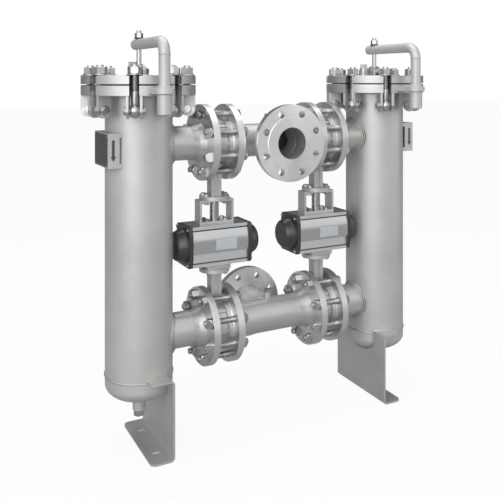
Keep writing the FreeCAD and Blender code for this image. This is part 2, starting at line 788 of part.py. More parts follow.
def end_cap_outline():
    """The end cap's plate: a rectangle whose corners are cut towards the barrel."""
    top = "actuator_height / 2"
    return both_sides([
        ("actuator_pad", top), ("actuator_half_depth", "end_cap_shoulder"),
        ("actuator_half_depth", "-end_cap_shoulder"), ("actuator_pad", f"-({top})")])


def make_actuator():
    """An extruded housing with a bore for two pistons, and a domed cap on either end."""
    middle = (VALVE, "0", "actuator_middle")
    housing = cut(
        put(plate(actuator_outline(), "actuator_length", "YZ_Plane"), middle),
        cylinder("cylinder_radius", "actuator_length",
                 (f"{VALVE} - actuator_length / 2", "0", "actuator_middle"), TO_X),
        cylinder("pinion_shaft + shaft_play", "actuator_height", (VALVE, "0", "actuator_bottom")))
    pair("actuator_body", housing)
    caps = []
    for turn, sign in ((TO_X, "+"), (TO_MINUS_X, "-")):
        face = f"{VALVE} {sign} actuator_length / 2"
        base = put(plate(end_cap_outline(), "end_cap_plate", "YZ_Plane"),
                   (f"{face} {sign} end_cap_plate / 2", "0", "actuator_middle"))
        bell = turned([
            ("0", "0"), ("end_cap_dome", "0"), ("end_cap_dome", "end_cap_plate + end_cap_edge"),
            ("end_cap_face + end_cap_edge", "end_cap_length - end_cap_edge"),
            ("end_cap_face", "end_cap_length"), ("0", "end_cap_length")])
        cavity = turned([
            ("0", "0"), ("cylinder_radius", "0"), ("cylinder_radius", "end_cap_plate + end_cap_edge"),
            ("end_cap_face - end_cap_wall", "end_cap_length - end_cap_wall"),
            ("0", "end_cap_length - end_cap_wall")])
        at = (face, "0", "actuator_middle")
        caps.append(cut(fuse(base, put(bell, at, turn)), put(cavity, at, turn)))
    both("end_caps", group(*caps))


def patterned(first, tooth, length, set_pattern):
    """A padded outline that carries a padded tooth, repeated by a pattern."""
    body = doc.addObject("PartDesign::Body", "toothed")
    pads = []
    for outline in (first, tooth):
        sketch = add_outline(body, outline, "XY_Plane")
        pad = body.newObject("PartDesign::Pad", "pad")
        pad.Profile = sketch
        pad.SideType = "Symmetric"
        pad.setExpression("Length", named(length))
        pads.append(pad)
        doc.recompute()
    kind = set_pattern[0]
    pattern = body.newObject(kind, "pattern")
    pattern.Originals = [pads[1]]
    set_pattern[1](pattern, pads[1].Profile[0])
    body.Tip = pattern
    return body


def half_tooth_angle(radius):
    """Half the angle that a pinion tooth takes up at a radius, along its involute flank."""
    turn_angle = f"acos(base_radius / ({radius}))"
    roll = f"(tan({turn_angle}) * 180 / pi - {turn_angle} / 1 deg)"
    start = "(tan(pressure_angle) * 180 / pi - pressure_angle)"
    play = "tooth_backlash / (4 * pitch_radius) * 180 / pi"
    return f"(90 / pinion_teeth - {play} + {start} - {roll})"


def make_pinion():
    """The actuator's shaft, with its pinion and the coupling for the upper stem."""
    root = "(pitch_radius - tooth_dedendum)"
    tip = "(pitch_radius + tooth_addendum)"
    flank = [(root, half_tooth_angle("base_radius")), ("base_radius", half_tooth_angle("base_radius")),
             ("pitch_radius", half_tooth_angle("pitch_radius")), (tip, half_tooth_angle(tip))]
    right = [(f"{radius} * sin({angle})", f"{radius} * cos({angle})") for radius, angle in flank]
    left = [(f"-{across}", up) for across, up in reversed(right)]
    inner = f"{root} / 2"
    tooth = [("0", inner), *right, *left]
    hub = [(f"{root} * cos({15 * step})", f"{root} * sin({15 * step})") for step in range(24)]

    def all_round(pattern, sketch):
        pattern.Axis = (sketch, ["N_Axis"])
        pattern.Angle = 360
        pattern.Occurrences = int(value("pinion_teeth"))

    gear = put(patterned(hub, tooth, "pinion_height", ("PartDesign::PolarPattern", all_round)),
               (VALVE, "0", "actuator_middle"), about_z(180 / value("pinion_teeth")))
    shaft = fuse(
        gear,
        cylinder("pinion_shaft", "coupling_bottom - actuator_bottom - shaft_play",
                 (VALVE, "0", "actuator_bottom + shaft_play")),
        cylinder("coupling_radius", "coupling_length", (VALVE, "0", "coupling_bottom")))
    pair("pinion", cut(
        shaft,
        cylinder("stem_radius", "stem_head", (VALVE, "0", "actuator_bottom")),
        cylinder("stem_radius", "stem_head",
                 (VALVE, "0", "coupling_bottom + coupling_length - stem_head"))))


def make_piston(name, turn):
    """A piston with its rack, which runs past the pinion on one side."""
    half = "(tooth_pitch / 4 - tooth_backlash / 4)"
    root = "pitch_radius + tooth_dedendum"
    tip = "pitch_radius - tooth_addendum"
    slope = "tan(pressure_angle)"
    teeth_outer = 7
    teeth_inner = 5
    first = f"-{teeth_outer} * tooth_pitch"
    bar = [("-piston_start", root), ("rack_reach", root),
           ("rack_reach", "rack_back"), ("-piston_start", "rack_back")]
    tooth = [(f"{first} - {half} + tooth_addendum * {slope}", tip),
             (f"{first} + {half} - tooth_addendum * {slope}", tip),
             (f"{first} + {half} + tooth_dedendum * {slope}", root),
             (f"{first} + {half}", "rack_back"), (f"{first} - {half}", "rack_back"),
             (f"{first} - {half} - tooth_dedendum * {slope}", root)]

    def along(pattern, sketch):
        pattern.Direction = (sketch, ["H_Axis"])
        pattern.Occurrences = teeth_outer + teeth_inner + 1
        pattern.setExpression("Length", named(f"{teeth_outer + teeth_inner} * tooth_pitch"))

    rack = patterned(bar, tooth, "rack_height", ("PartDesign::LinearPattern", along))
    head = cylinder("cylinder_radius - piston_play", "piston_length",
                    ("-piston_start - piston_length", "0", "0"), TO_X)
    pair("piston_" + name, put(fuse(head, rack), (VALVE, "0", "actuator_middle"), turn))


def make_yoke():
    """A four-sided frame that carries the upper valve over the actuator, and the lower adaptor."""
    low = ("-yoke_width / 2", "-yoke_depth / 2", "0")
    frame = cut(
        box("yoke_width", "yoke_depth", "yoke_height", low),
        box("yoke_width - 2 * yoke_plate", "yoke_depth", "yoke_height - 2 * yoke_plate",
            ("-yoke_width / 2 + yoke_plate", "-yoke_depth / 2", "yoke_plate")),
        cylinder("pinion_shaft + shaft_play", "yoke_height", ORIGIN))
    pair("yoke", put(frame, (VALVE, "0", "actuator_top")))
    adaptor = cut(
        box("adaptor_width", "adaptor_width", "adaptor_thickness",
            (f"{VALVE} - adaptor_width / 2", "-adaptor_width / 2", "adaptor_bottom")),
        cylinder("stem_radius + stem_play", "adaptor_thickness", (VALVE, "0", "adaptor_bottom")))
    both("adaptor_plates", adaptor)


def make_bracket():
    """A channel bent from plate: its foot and top lie outward, and the shell passes through it."""
    near = "-vessel_offset + bracket_web"
    far = f"{near} - bracket_depth"
    channel = plate([
        (far, "0"), (f"{near} - bracket_bend", "0"), (near, "bracket_bend"),
        (near, "bracket_height - bracket_bend"), (f"{near} - bracket_bend", "bracket_height"),
        (far, "bracket_height"), (far, "bracket_height - bracket_plate"),
        (f"{near} - bracket_bend", "bracket_height - bracket_plate"),
        (f"{near} - bracket_plate", "bracket_height - bracket_bend"),
        (f"{near} - bracket_plate", "bracket_bend"),
        (f"{near} - bracket_bend", "bracket_plate"), (far, "bracket_plate")],
        "2 * bracket_half_width", "XZ_Plane")
    corners = []
    for side, start in (("-", "-bracket_half_width"), ("+", "bracket_half_width - bracket_corner")):
        middle = f"{side}(bracket_half_width - bracket_corner)"
        corners.append(cut(
            box("bracket_corner", "bracket_corner", "bracket_height", (far, start, "0")),
            cylinder("bracket_corner", "bracket_height", (f"{far} + bracket_corner", middle, "0"))))
    slots = []
    for side in ("-", "+"):
        half = "foot_slot_length / 2 - foot_slot_radius"
        x = "-vessel_offset + foot_slot_x"
        slots.append(box(f"2 * ({half})", "2 * foot_slot_radius", "bracket_plate",
                         (f"{x} - ({half})", f"{side}foot_slot_y - foot_slot_radius", "0")))
        for end in ("-", "+"):
            slots.append(cylinder("foot_slot_radius", "bracket_plate",
                                  (f"{x} {end} ({half})", f"{side}foot_slot_y", "0")))
    pair("support_bracket", cut(channel, shell_outside(), *corners, *slots))


def make_plugs():
    """Hexagon plugs in the two drains and in the boss on each tee."""
    def plug(flats, height, thread, at, turn):
        return put(fuse(
            hexagon(flats, height, ORIGIN),
            cylinder(thread, "plug_thread", ("0", "0", "-plug_thread"))), at, turn)

    drain = plug("drain_plug_flats", "drain_plug_height", "drain_bore",
                 (VESSEL, "0", "cap_bottom - drain_length"), UPSIDE_DOWN)
    tees = [plug("boss_plug_flats", "boss_plug_height", "boss_bore",
                 ("0", "0", f"{level} + boss_top"), UPRIGHT) for level in ("lower_line", "upper_line")]
    node("pipe_plugs", group(drain, mirror(drain), *tees))


def make_carrier():
    """A bracket of bent sheet on the shell's outer side, with a bare plate on its face."""
    face = "-vessel_offset - carrier_reach"
    inner = f"{face} + carrier_sheet"
    half = "carrier_half_width"
    strip = put(plate([
        (face, f"-{half}"), ("-vessel_offset", f"-{half}"), ("-vessel_offset", f"-{half} + carrier_sheet"),
        (inner, f"-{half} + carrier_sheet"), (inner, f"{half} - carrier_sheet"),
        ("-vessel_offset", f"{half} - carrier_sheet"), ("-vessel_offset", half), (face, half)],
        "carrier_height"), ("0", "0", "carrier_bottom + carrier_height / 2"))
    reach = "sqrt(shell_radius ^ 2 - carrier_half_width ^ 2)"
    window = box("carrier_window + shell_radius", "2 * carrier_half_width",
                 "carrier_height - 2 * carrier_tab",
                 (f"-vessel_offset - {reach} - carrier_window", f"-{half}", "carrier_bottom + carrier_tab"))
    both("plate_carriers", cut(
        strip, cylinder("shell_radius", "flange_seat", (VESSEL, "0", "0")), window))
    both("name_plates", box(
        "plate_thickness", f"2 * ({half} - plate_margin)", "carrier_height - 2 * plate_margin",
        (f"{face} - plate_thickness", f"-{half} + plate_margin", "carrier_bottom + plate_margin")))


make_vessel()
make_cover()
make_gasket()
make_bolt_lugs()
make_swing_bolts()
make_basket()
make_davit()
make_nozzles()
make_tee("upper_tee", "upper_line", "-")
make_tee("lower_tee", "lower_line", "")
make_studs()
make_valves()
make_actuator()
make_pinion()
make_piston("outer", UPRIGHT)
make_piston("inner", about_z(180))
make_yoke()
make_bracket()
make_plugs()
make_carrier()
doc.recompute()

failed = [item.Name for item in doc.Objects if "Invalid" in item.State or "Error" in item.State]
if failed:
    raise RuntimeError(f"objects that failed: {failed}")
for name, item in nodes.items():
    if item.Shape.isNull() or not item.Shape.isValid():
        raise RuntimeError(f"{name} has no valid shape")

os.makedirs("parts", exist_ok=True)
for name, item in nodes.items():
    item.Shape.exportStep(f"parts/{name}.step")
    print(name, len(item.Shape.Solids), "solids", round(item.Shape.Volume), "mm3")
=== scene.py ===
# %% [markdown]
# Dressing a duplex strainer.
#
# The object is a pair of upright filter vessels, joined by two flanged pipe lines.
# Its shapes come from the CAD model. This script adds what the eye expects of welded
# and blasted stainless steel: soft edges, weld beads, real nuts, threads and finishes.

# %% Load the frame
import bmesh
import bpy
import json
import math
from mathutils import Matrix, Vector


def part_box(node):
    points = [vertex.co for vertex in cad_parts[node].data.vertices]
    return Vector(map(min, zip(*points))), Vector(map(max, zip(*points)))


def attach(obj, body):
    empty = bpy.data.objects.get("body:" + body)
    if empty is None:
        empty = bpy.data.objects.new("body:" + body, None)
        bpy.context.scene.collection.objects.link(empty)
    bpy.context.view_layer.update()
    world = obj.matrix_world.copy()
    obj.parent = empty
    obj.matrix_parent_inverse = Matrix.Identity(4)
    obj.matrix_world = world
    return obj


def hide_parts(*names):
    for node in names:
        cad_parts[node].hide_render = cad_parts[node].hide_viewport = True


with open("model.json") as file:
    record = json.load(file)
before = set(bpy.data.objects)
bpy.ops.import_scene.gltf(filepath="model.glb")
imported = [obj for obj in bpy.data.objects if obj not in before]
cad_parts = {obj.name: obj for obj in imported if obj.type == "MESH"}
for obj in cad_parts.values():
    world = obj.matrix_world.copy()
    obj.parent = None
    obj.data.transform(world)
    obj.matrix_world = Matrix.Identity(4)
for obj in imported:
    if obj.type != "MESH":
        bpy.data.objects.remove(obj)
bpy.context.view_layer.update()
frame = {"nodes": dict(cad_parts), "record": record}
nodes = frame["nodes"]

# %% [markdown]
# The photographer stood to the left of the object, at the height of its covers, and kept
# the camera level. Upright edges then stay upright. A level camera that still looks at the
# feet needs its lens shifted downwards, as on an architect's camera. The three lengths below
# are in pixels of the picture: its side, the focal length and the horizon under its top.

# %% The camera
PICTURE = 500
FOCAL_LENGTH = 689.5
HORIZON = 78.4
lens = bpy.data.cameras.new("camera")
lens.sensor_width = 36
lens.lens = 36 * FOCAL_LENGTH / PICTURE
lens.shift_y = -(PICTURE / 2 - HORIZON) / PICTURE
camera = bpy.data.objects.new("camera", lens)
camera.location = (-0.9092, -1.6676, 0.9195)
camera.rotation_euler = (math.radians(90), 0, math.radians(-27.19))
bpy.context.collection.objects.link(camera)
scene = bpy.context.scene
scene.camera = camera
scene.view_settings.view_transform = "Standard"
print("lens", round(lens.lens, 1), "mm, shift", round(lens.shift_y, 3))

# %% [markdown]
# Blasted steel shows no sharp reflections, only a slow change from light to dark across
# each cylinder. Large soft lamps make that change: a broad one from the left, a weaker one
# from the right and one above. The metal also mirrors the studio itself, which is brightest
# at the front left and falls off all round, so that both edges of a cylinder turn darker.

# %% The lamps
def add_lamp(name, place, target, size, power):
    lamp = bpy.data.lights.new(name, "AREA")
    lamp.shape = "DISK"
    lamp.size = size
    lamp.energy = power
    lamp_object = bpy.data.objects.new(name, lamp)
    lamp_object.location = place
    aim = Vector(target) - Vector(place)
    lamp_object.rotation_euler = aim.to_track_quat("-Z", "Y").to_euler()
    bpy.context.collection.objects.link(lamp_object)


add_lamp("broad_lamp", (-2.4, -2.6, 1.7), (0, 0, 0.6), 4.2, 58)
add_lamp("side_lamp", (2.6, -1.4, 1.2), (0.2, 0, 0.5), 2.0, 8)
add_lamp("top_lamp", (0.2, 0.4, 3.0), (0, 0, 0.8), 3.0, 34)
print("lamps", len(bpy.data.lights))

# %% [markdown]
# The studio is a sphere of light without a picture. Its strength at a point depends only on
# the angle to the brightest side, so it is a dot product of two directions, spread over a
# smooth step. The camera itself sees plain white instead, through the Is Camera Ray switch.
# Two helpers add nodes and link them, here and in every later tree.

# %% The studio round the object
def add_node(tree, kind, values=None, **settings):
    """A node of a kind, with its settings and the values of its inputs."""
    node = tree.nodes.new(kind)
    for setting, value in settings.items():
        setattr(node, setting, value)
    for entry, value in (values or {}).items():
        node.inputs[entry].default_value = value
    return node


def wire(tree, source, output, target, entry):
    """Links an output of one node to an input of another."""
    tree.links.new(source.outputs[output], target.inputs[entry])


STUDIO_BRIGHT = 1.0
STUDIO_DARK = 0.14
world = bpy.data.worlds.new("studio")
scene.world = world
world.use_nodes = True
sky = world.node_tree
sky.nodes.clear()
direction = add_node(sky, "ShaderNodeTexCoord")
brightest = Vector((-0.56, -0.83, 0.1)).normalized()
towards = add_node(sky, "ShaderNodeVectorMath", {1: brightest}, operation="DOT_PRODUCT")
fall = add_node(sky, "ShaderNodeMapRange", {
    "From Min": -0.5, "From Max": 0.75, "To Min": STUDIO_DARK, "To Max": STUDIO_BRIGHT},
    interpolation_type="SMOOTHSTEP")
rays = add_node(sky, "ShaderNodeLightPath")
seen = add_node(sky, "ShaderNodeMix", {"B": 1.0}, data_type="FLOAT")
backdrop = add_node(sky, "ShaderNodeBackground", {"Color": (1, 1, 1, 1)})
sky_out = add_node(sky, "ShaderNodeOutputWorld")
wire(sky, direction, "Generated", towards, 0)
wire(sky, towards, "Value", fall, "Value")
wire(sky, rays, "Is Camera Ray", seen, "Factor")
wire(sky, fall, "Result", seen, "A")
wire(sky, seen, "Result", backdrop, "Strength")
wire(sky, backdrop, "Background", sky_out, "Surface")
print("studio light", STUDIO_DARK, "to", STUDIO_BRIGHT)

# %% [markdown]
# The floor is white paper. Seen by the camera it glows a little, so that it joins the white
# behind it without more light on the object, and it still takes a faint shadow. The metal
# mirrors only a trace of that glow, and the paper that lights the object is greyer than the
# paper that the camera sees, as if dark card lay outside the picture. Otherwise every pipe
# would shine from below.

# %% The floor
MIRRORED_GLOW = 0.12
SEEN_GLOW = 0.92
LIT_BY = (0.35, 0.35, 0.35, 1)
SEEN_AS = (0.95, 0.95, 0.95, 1)
bpy.ops.mesh.primitive_plane_add(size=40, location=(0, 0, -0.0004))
floor = bpy.context.object
floor.name = "floor"
paper = bpy.data.materials.new("white_paper")
paper.use_nodes = True
tree = paper.node_tree
matte = tree.nodes["Principled BSDF"]
matte.inputs["Roughness"].default_value = 0.9
matte.inputs["Specular IOR Level"].default_value = 0.1
glow = add_node(tree, "ShaderNodeEmission")
ray = add_node(tree, "ShaderNodeLightPath")
mirrored = add_node(tree, "ShaderNodeMath", {1: MIRRORED_GLOW}, operation="MULTIPLY")
looked_at = add_node(tree, "ShaderNodeMath", {1: SEEN_GLOW}, operation="MULTIPLY_ADD")
mix = add_node(tree, "ShaderNodeMixShader")
whiteness = add_node(tree, "ShaderNodeMix", {"A": LIT_BY, "B": SEEN_AS}, data_type="RGBA")
wire(tree, ray, "Is Camera Ray", whiteness, "Factor")
wire(tree, whiteness, "Result", matte, "Base Color")
wire(tree, ray, "Is Glossy Ray", mirrored, 0)
wire(tree, ray, "Is Camera Ray", looked_at, 0)
wire(tree, mirrored, 0, looked_at, 2)
wire(tree, looked_at, 0, mix, "Fac")
wire(tree, matte, "BSDF", mix, 1)
wire(tree, glow, "Emission", mix, 2)
wire(tree, mix, "Shader", tree.nodes["Material Output"], "Surface")
floor.data.materials.append(paper)
print("floor glow", SEEN_GLOW, "mirrored", MIRRORED_GLOW)

# %% [markdown]
# Every finish starts from the same shader, with a colour, a metalness and a roughness.
# What tells one steel from another is the fine structure of its surface, so small helpers
# add that structure from patterns that fill space. A pattern in the object's own
# coordinates needs no unwrapping, and it stays on the piece when the piece moves.

# %% Helpers for finishes
def new_finish(name, colour, metal, roughness):
    finish = bpy.data.materials.new(name)
    finish.use_nodes = True
    shader = finish.node_tree.nodes["Principled BSDF"]
    shader.inputs["Base Color"].default_value = (*colour, 1)
    shader.inputs["Metallic"].default_value = metal
    shader.inputs["Roughness"].default_value = roughness
    finish.diffuse_color = (*colour, 1)
    return finish


def own_place(tree, location=(0, 0, 0), stretch=(1, 1, 1)):
    """Where a point is on its own piece, moved and stretched."""
    place = add_node(tree, "ShaderNodeTexCoord")
    mapping = add_node(tree, "ShaderNodeMapping", {"Location": location, "Scale": stretch})
    wire(tree, place, "Object", mapping, "Vector")
    return mapping.outputs["Vector"]


def speckle(finish, size, detail=2.0, stretch=(1, 1, 1)):
    """A cloud pattern whose patches are about this many metres across."""
    tree = finish.node_tree
    cloud = add_node(tree, "ShaderNodeTexNoise", {"Scale": 1 / size, "Detail": detail})
    tree.links.new(own_place(tree, stretch=stretch), cloud.inputs["Vector"])
    return cloud.outputs["Fac"]


WAVE = 0.314


def stripes(finish, pitch, kind, axis, centre=(0, 0, 0), distortion=0.0):
    """Bands or rings at a pitch, about a centre. At a scale of 1 a wave is WAVE metres long."""
    tree = finish.node_tree
    wave = add_node(tree, "ShaderNodeTexWave", {"Scale": WAVE / pitch, "Distortion": distortion},
                    wave_type=kind)
    if kind == "BANDS":
        wave.bands_direction = axis
    else:
        wave.rings_direction = axis
    tree.links.new(own_place(tree, [-value for value in centre]), wave.inputs["Vector"])
    return wave.outputs["Fac"]


def ranged(finish, field, low, high, start=0.3, end=0.7):
    """Maps a pattern's middle values to a span of numbers."""
    tree = finish.node_tree
    span = add_node(tree, "ShaderNodeMapRange", {
        "From Min": start, "From Max": end, "To Min": low, "To Max": high})
    tree.links.new(field, span.inputs["Value"])
    return span.outputs["Result"]


def vary_roughness(finish, field, low, high):
    shader = finish.node_tree.nodes["Principled BSDF"]
    finish.node_tree.links.new(ranged(finish, field, low, high), shader.inputs["Roughness"])


def vary_colour(finish, field, dark, light, start=0.3, end=0.7):
    tree = finish.node_tree
    ramp = add_node(tree, "ShaderNodeValToRGB")
    for stop, position, colour in zip(ramp.color_ramp.elements, (start, end), (dark, light)):
        stop.position = position
        stop.color = (*colour, 1)
    tree.links.new(field, ramp.inputs["Fac"])
    wire(tree, ramp, "Color", tree.nodes["Principled BSDF"], "Base Color")


def raise_surface(finish, field, depth, strength=1.0):
    """Each call adds relief on top of the relief that is there."""
    tree = finish.node_tree
    shader = tree.nodes["Principled BSDF"]
    bump = add_node(tree, "ShaderNodeBump", {"Distance": depth, "Strength": strength})
    if shader.inputs["Normal"].is_linked:
        tree.links.new(shader.inputs["Normal"].links[0].from_socket, bump.inputs["Normal"])
    tree.links.new(field, bump.inputs["Height"])
    wire(tree, bump, "Normal", shader, "Normal")


print("helpers ready")

# %% [markdown]
# The vessels and pipes are blasted with glass beads, which leaves an even, slightly sparkling
# grey. Under the fine grain lie broad, faint patches where the blast passed more than once.
# A shell is rolled from sheet, so a pattern that is stretched upwards adds faint long dents.

# %% Blasted steel
def blasted_steel(name, colour, roughness, metal=0.75):
    """Grain and faint patches. Less metal stands for a coarser blast, which scatters more."""
    finish = new_finish(name, colour, metal, roughness)
    patches = speckle(finish, 0.09, 4)
    darker = [value * 0.93 for value in colour]
    lighter = [min(1, value * 1.05) for value in colour]
    vary_colour(finish, patches, darker, lighter)
    vary_roughness(finish, speckle(finish, 0.03, 5), roughness - 0.05, roughness + 0.05)
    raise_surface(finish, speckle(finish, 0.0009, 1), 0.00006, 0.5)
    raise_surface(finish, speckle(finish, 0.02, 2), 0.0002, 0.25)
    return finish


vessel_blast = blasted_steel("blasted_shell", (0.62, 0.62, 0.615), 0.46, 0.65)
raise_surface(vessel_blast, speckle(vessel_blast, 0.012, 2, (1, 1, 0.01)), 0.0004, 0.4)
pipe_blast = blasted_steel("blasted_pipe", (0.60, 0.60, 0.595), 0.42)
davit_blast = blasted_steel("blasted_davit", (0.60, 0.60, 0.595), 0.5, 0.5)
casting_blast = blasted_steel("blasted_casting", (0.60, 0.60, 0.595), 0.44)
raise_surface(casting_blast, speckle(casting_blast, 0.003, 3), 0.0002, 0.5)
plate_satin = blasted_steel("satin_plate", (0.64, 0.635, 0.625), 0.42)
print("finishes so far", len(bpy.data.materials))

# %% [markdown]
# Flanges are turned on a lathe. The tool leaves a fine spiral, seen as rings around the
# flange's axis, so this finish is made once for each axis, with its rings centred there.
# Such grooves spread a highlight across themselves, which makes bright wedges on a turned
# face. The shader can do that if it knows the way of the cut at each point, and that is the
# cross product of the axis and the line from the centre. Covers are cut more coarsely, so
# their sheen is weaker and duller. The places of the main parts, in metres, come first,
# because the rings need their centres.

# %% Where the main parts stand
SIDES = {"left": -1, "right": 1}
LINES = {"upper": 0.752, "lower": 0.271}
VESSEL_X = 0.366
VALVE_X = 0.159
ACTUATOR_Z = 0.487
print("span between the vessels", round(2 * VESSEL_X, 3))

# %% Turned steel
AXES = {"X": (1, 0, 0), "Y": (0, 1, 0), "Z": (0, 0, 1)}


def turned_steel(name, axis, centre, shade=0.80, sheen=0.75, roughness=0.3):
    """Bare steel with rings about an axis through a centre, and a highlight along them."""
    finish = new_finish(name, (shade, shade, shade), 1.0, roughness)
    tree = finish.node_tree
    shader = tree.nodes["Principled BSDF"]
    shader.inputs["Anisotropic"].default_value = sheen
    place = add_node(tree, "ShaderNodeTexCoord")
    from_centre = add_node(tree, "ShaderNodeVectorMath", {1: centre}, operation="SUBTRACT")
    along_cut = add_node(tree, "ShaderNodeVectorMath", {0: AXES[axis]}, operation="CROSS_PRODUCT")
    wire(tree, place, "Object", from_centre, 0)
    wire(tree, from_centre, "Vector", along_cut, 1)
    wire(tree, along_cut, "Vector", shader, "Tangent")
    rings = stripes(finish, 0.0008, "RINGS", axis, centre, 0.4)
    vary_roughness(finish, speckle(finish, 0.02, 4), roughness - 0.03, roughness + 0.06)
    raise_surface(finish, rings, 0.00004, 0.35)
    raise_surface(finish, speckle(finish, 0.0012, 1), 0.00005, 0.3)
    return finish


turned_cover = {}
for side, sign in SIDES.items():
    turned_cover[side] = turned_steel(f"turned_cover_{side}", "Z", (sign * VESSEL_X, 0, 0), 0.60, 0.2, 0.42)

# %% [markdown]
# Nuts, bolts and pins are bright steel. A stud's thread is a row of rings in its mesh, and
# its finish adds bands along the axis, at the same pitch, which sharpen the rings.

# %% Bright fasteners
def bright_steel(name, colour=(0.54, 0.54, 0.535), roughness=0.24):
    finish = new_finish(name, colour, 1.0, roughness)
    vary_roughness(finish, speckle(finish, 0.006, 4), roughness - 0.05, roughness + 0.07)
    vary_colour(finish, speckle(finish, 0.012, 3), [value * 0.86 for value in colour], colour)
    raise_surface(finish, speckle(finish, 0.003, 2), 0.00005, 0.15)
    return finish


bright_nut = bright_steel("bright_nut")
rolled_thread = bright_steel("rolled_thread", (0.55, 0.55, 0.545), 0.3)
raise_surface(rolled_thread, stripes(rolled_thread, 0.002, "BANDS", "X"), 0.0007, 0.9)
disc_polish = bright_steel("polished_disc", (0.7, 0.7, 0.695), 0.18)
print("fastener finishes", bright_nut.name, rolled_thread.name)

# %% [markdown]
# The actuators are extruded aluminium, hard anodised, with faint lines along the extrusion.
# Their end caps are cast and coated black, with a fine orange-peel surface. Gaskets and valve
# seats are rubber, and the name plates are dark and bare, mottled as an etched plate is.

# %% Actuator, rubber and plate finishes
anodised = new_finish("anodised_extrusion", (0.64, 0.655, 0.67), 1.0, 0.24)
raise_surface(anodised, speckle(anodised, 0.0016, 2, (0.02, 1, 1)), 0.00005, 0.5)
vary_roughness(anodised, speckle(anodised, 0.02, 3), 0.2, 0.28)
black_coat = new_finish("black_powder_coat", (0.03, 0.03, 0.032), 0.0, 0.3)
black_coat.node_tree.nodes["Principled BSDF"].inputs["Specular IOR Level"].default_value = 0.8
raise_surface(black_coat, speckle(black_coat, 0.0011, 2), 0.00012, 0.5)
vary_roughness(black_coat, speckle(black_coat, 0.02, 3), 0.26, 0.36)
seat_rubber = new_finish("seat_rubber", (0.02, 0.02, 0.02), 0.0, 0.6)
raise_surface(seat_rubber, speckle(seat_rubber, 0.001, 2), 0.0001, 0.4)
dark_plate = new_finish("dark_plate", (0.05, 0.05, 0.05), 0.0, 0.5)
raise_surface(dark_plate, speckle(dark_plate, 0.0012, 3), 0.00012, 0.6)
vary_colour(dark_plate, speckle(dark_plate, 0.004, 4), (0.03, 0.03, 0.03), (0.12, 0.12, 0.12))
print("finishes so far", len(bpy.data.materials))

# %% [markdown]
# Each solid of the CAD model now gets the finish of what it is. The list is given one by one,
# because only someone who knows the object can say which piece is turned and which is cast.

# %% Give every node its finish
finish_of = {
    "lifting_rods": bright_nut, "lifting_nuts": bright_nut, "flange_studs": bright_nut,
    "pipe_plugs": bright_nut, "cover_gaskets": seat_rubber, "seat_liners": seat_rubber,
    "davit_arms": davit_blast, "davit_sockets": davit_blast,
    "upper_tee": pipe_blast, "lower_tee": pipe_blast,
    "adaptor_plates": casting_blast, "plate_carriers": vessel_blast,
    "name_plates": dark_plate, "end_caps": black_coat,
}
for side in SIDES:
    finish_of[f"vessel_{side}"] = vessel_blast
    finish_of[f"cover_{side}"] = turned_cover[side]
    finish_of[f"bolt_lugs_{side}"] = vessel_blast
    finish_of[f"basket_{side}"] = pipe_blast
    finish_of[f"nozzles_{side}"] = pipe_blast
    finish_of[f"support_bracket_{side}"] = plate_satin
    finish_of[f"yoke_{side}"] = plate_satin
    finish_of[f"actuator_body_{side}"] = anodised
    finish_of[f"pinion_{side}"] = bright_nut
    for level in LINES:
        finish_of[f"valve_body_{level}_{side}"] = casting_blast
        finish_of[f"disc_{level}_{side}"] = disc_polish
    for which in ("inner", "outer"):
        finish_of[f"piston_{which}_{side}"] = anodised
    for number in range(1, 9):
        finish_of[f"swing_bolt_{side}_{number}"] = bright_nut
for name, node in nodes.items():
    node.data.materials.clear()
    node.data.materials.append(finish_of[name])
print("finished nodes", len(finish_of), "of", len(nodes))

# %% [markdown]
# A CAD node arrives as loose triangles with knife edges, and no real edge is that sharp.
# A chamfer in a file breaks every edge, and that narrow face is what catches the light.
# Edges could be rounded in CAD, but a bevel on a copy is quicker, and it leaves the
# model's sizes alone. Equal faces are joined first, so that the bevel runs clean, and
# normals weighted by area keep the flat faces flat beside it. On the end caps and the lugs,
# narrow flat faces wind round a hole, and one could fill its hole once the bevel has moved
# its corners. There the faces with many corners are cut into triangles before the bevel.

# %% A finished piece and what it stands for
body_of = {name: body for body, names in frame["record"]["behaviour"]["bodies"].items() for name in names}
slot_of = {row["node"]: row["material_slot"] for row in frame["record"]["subparts"]}
print("nodes with a body", len(body_of), "with a slot", len(slot_of))


def settle(piece, body, slot, *replaced):
    """Hides the nodes that a finished piece stands for and ties the piece to its body. The slot is not
    used.
    """
    if replaced:
        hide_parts(*replaced)
    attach(piece, body)
    return piece


def evaluated_mesh(piece):
    bpy.context.view_layer.update()
    return bpy.data.meshes.new_from_object(piece.evaluated_get(bpy.context.evaluated_depsgraph_get()))


def soften(piece, width, steps=2):
    """Rounds the edges of a closed piece by a width in metres."""
    for face in piece.data.polygons:
        face.use_smooth = True
    edge = piece.modifiers.new("soft_edge", "BEVEL")
    edge.width = width
    edge.segments = steps
    edge.limit_method = "ANGLE"
    edge.angle_limit = math.radians(32)
    piece.modifiers.new("flat_faces", "WEIGHTED_NORMAL")
    mesh = evaluated_mesh(piece)
    piece.modifiers.clear()
    piece.data = mesh


# %% [markdown]
# Where a node holds two solids that are welded together, they lie flat against each other.
# Those hidden faces would stay inside the merged copy and leave edges with three faces, so
# equal pairs of them are deleted first, and the copy is one closed skin.

# %% Copies with soft edges
WINDING = ("end_caps", "bolt_lugs_left", "bolt_lugs_right")


def drop_twins(skin):
    """Deletes both of two equal triangles, where one solid of a node lies flat against the next."""
    equal = {}
    for face in skin.faces:
        corners = frozenset(tuple(round(value * 1e5) for value in vert.co) for vert in face.verts)
        equal.setdefault(corners, []).append(face)
    twins = [face for faces in equal.values() if len(faces) == 2 for face in faces]
    bmesh.ops.delete(skin, geom=twins, context="FACES")


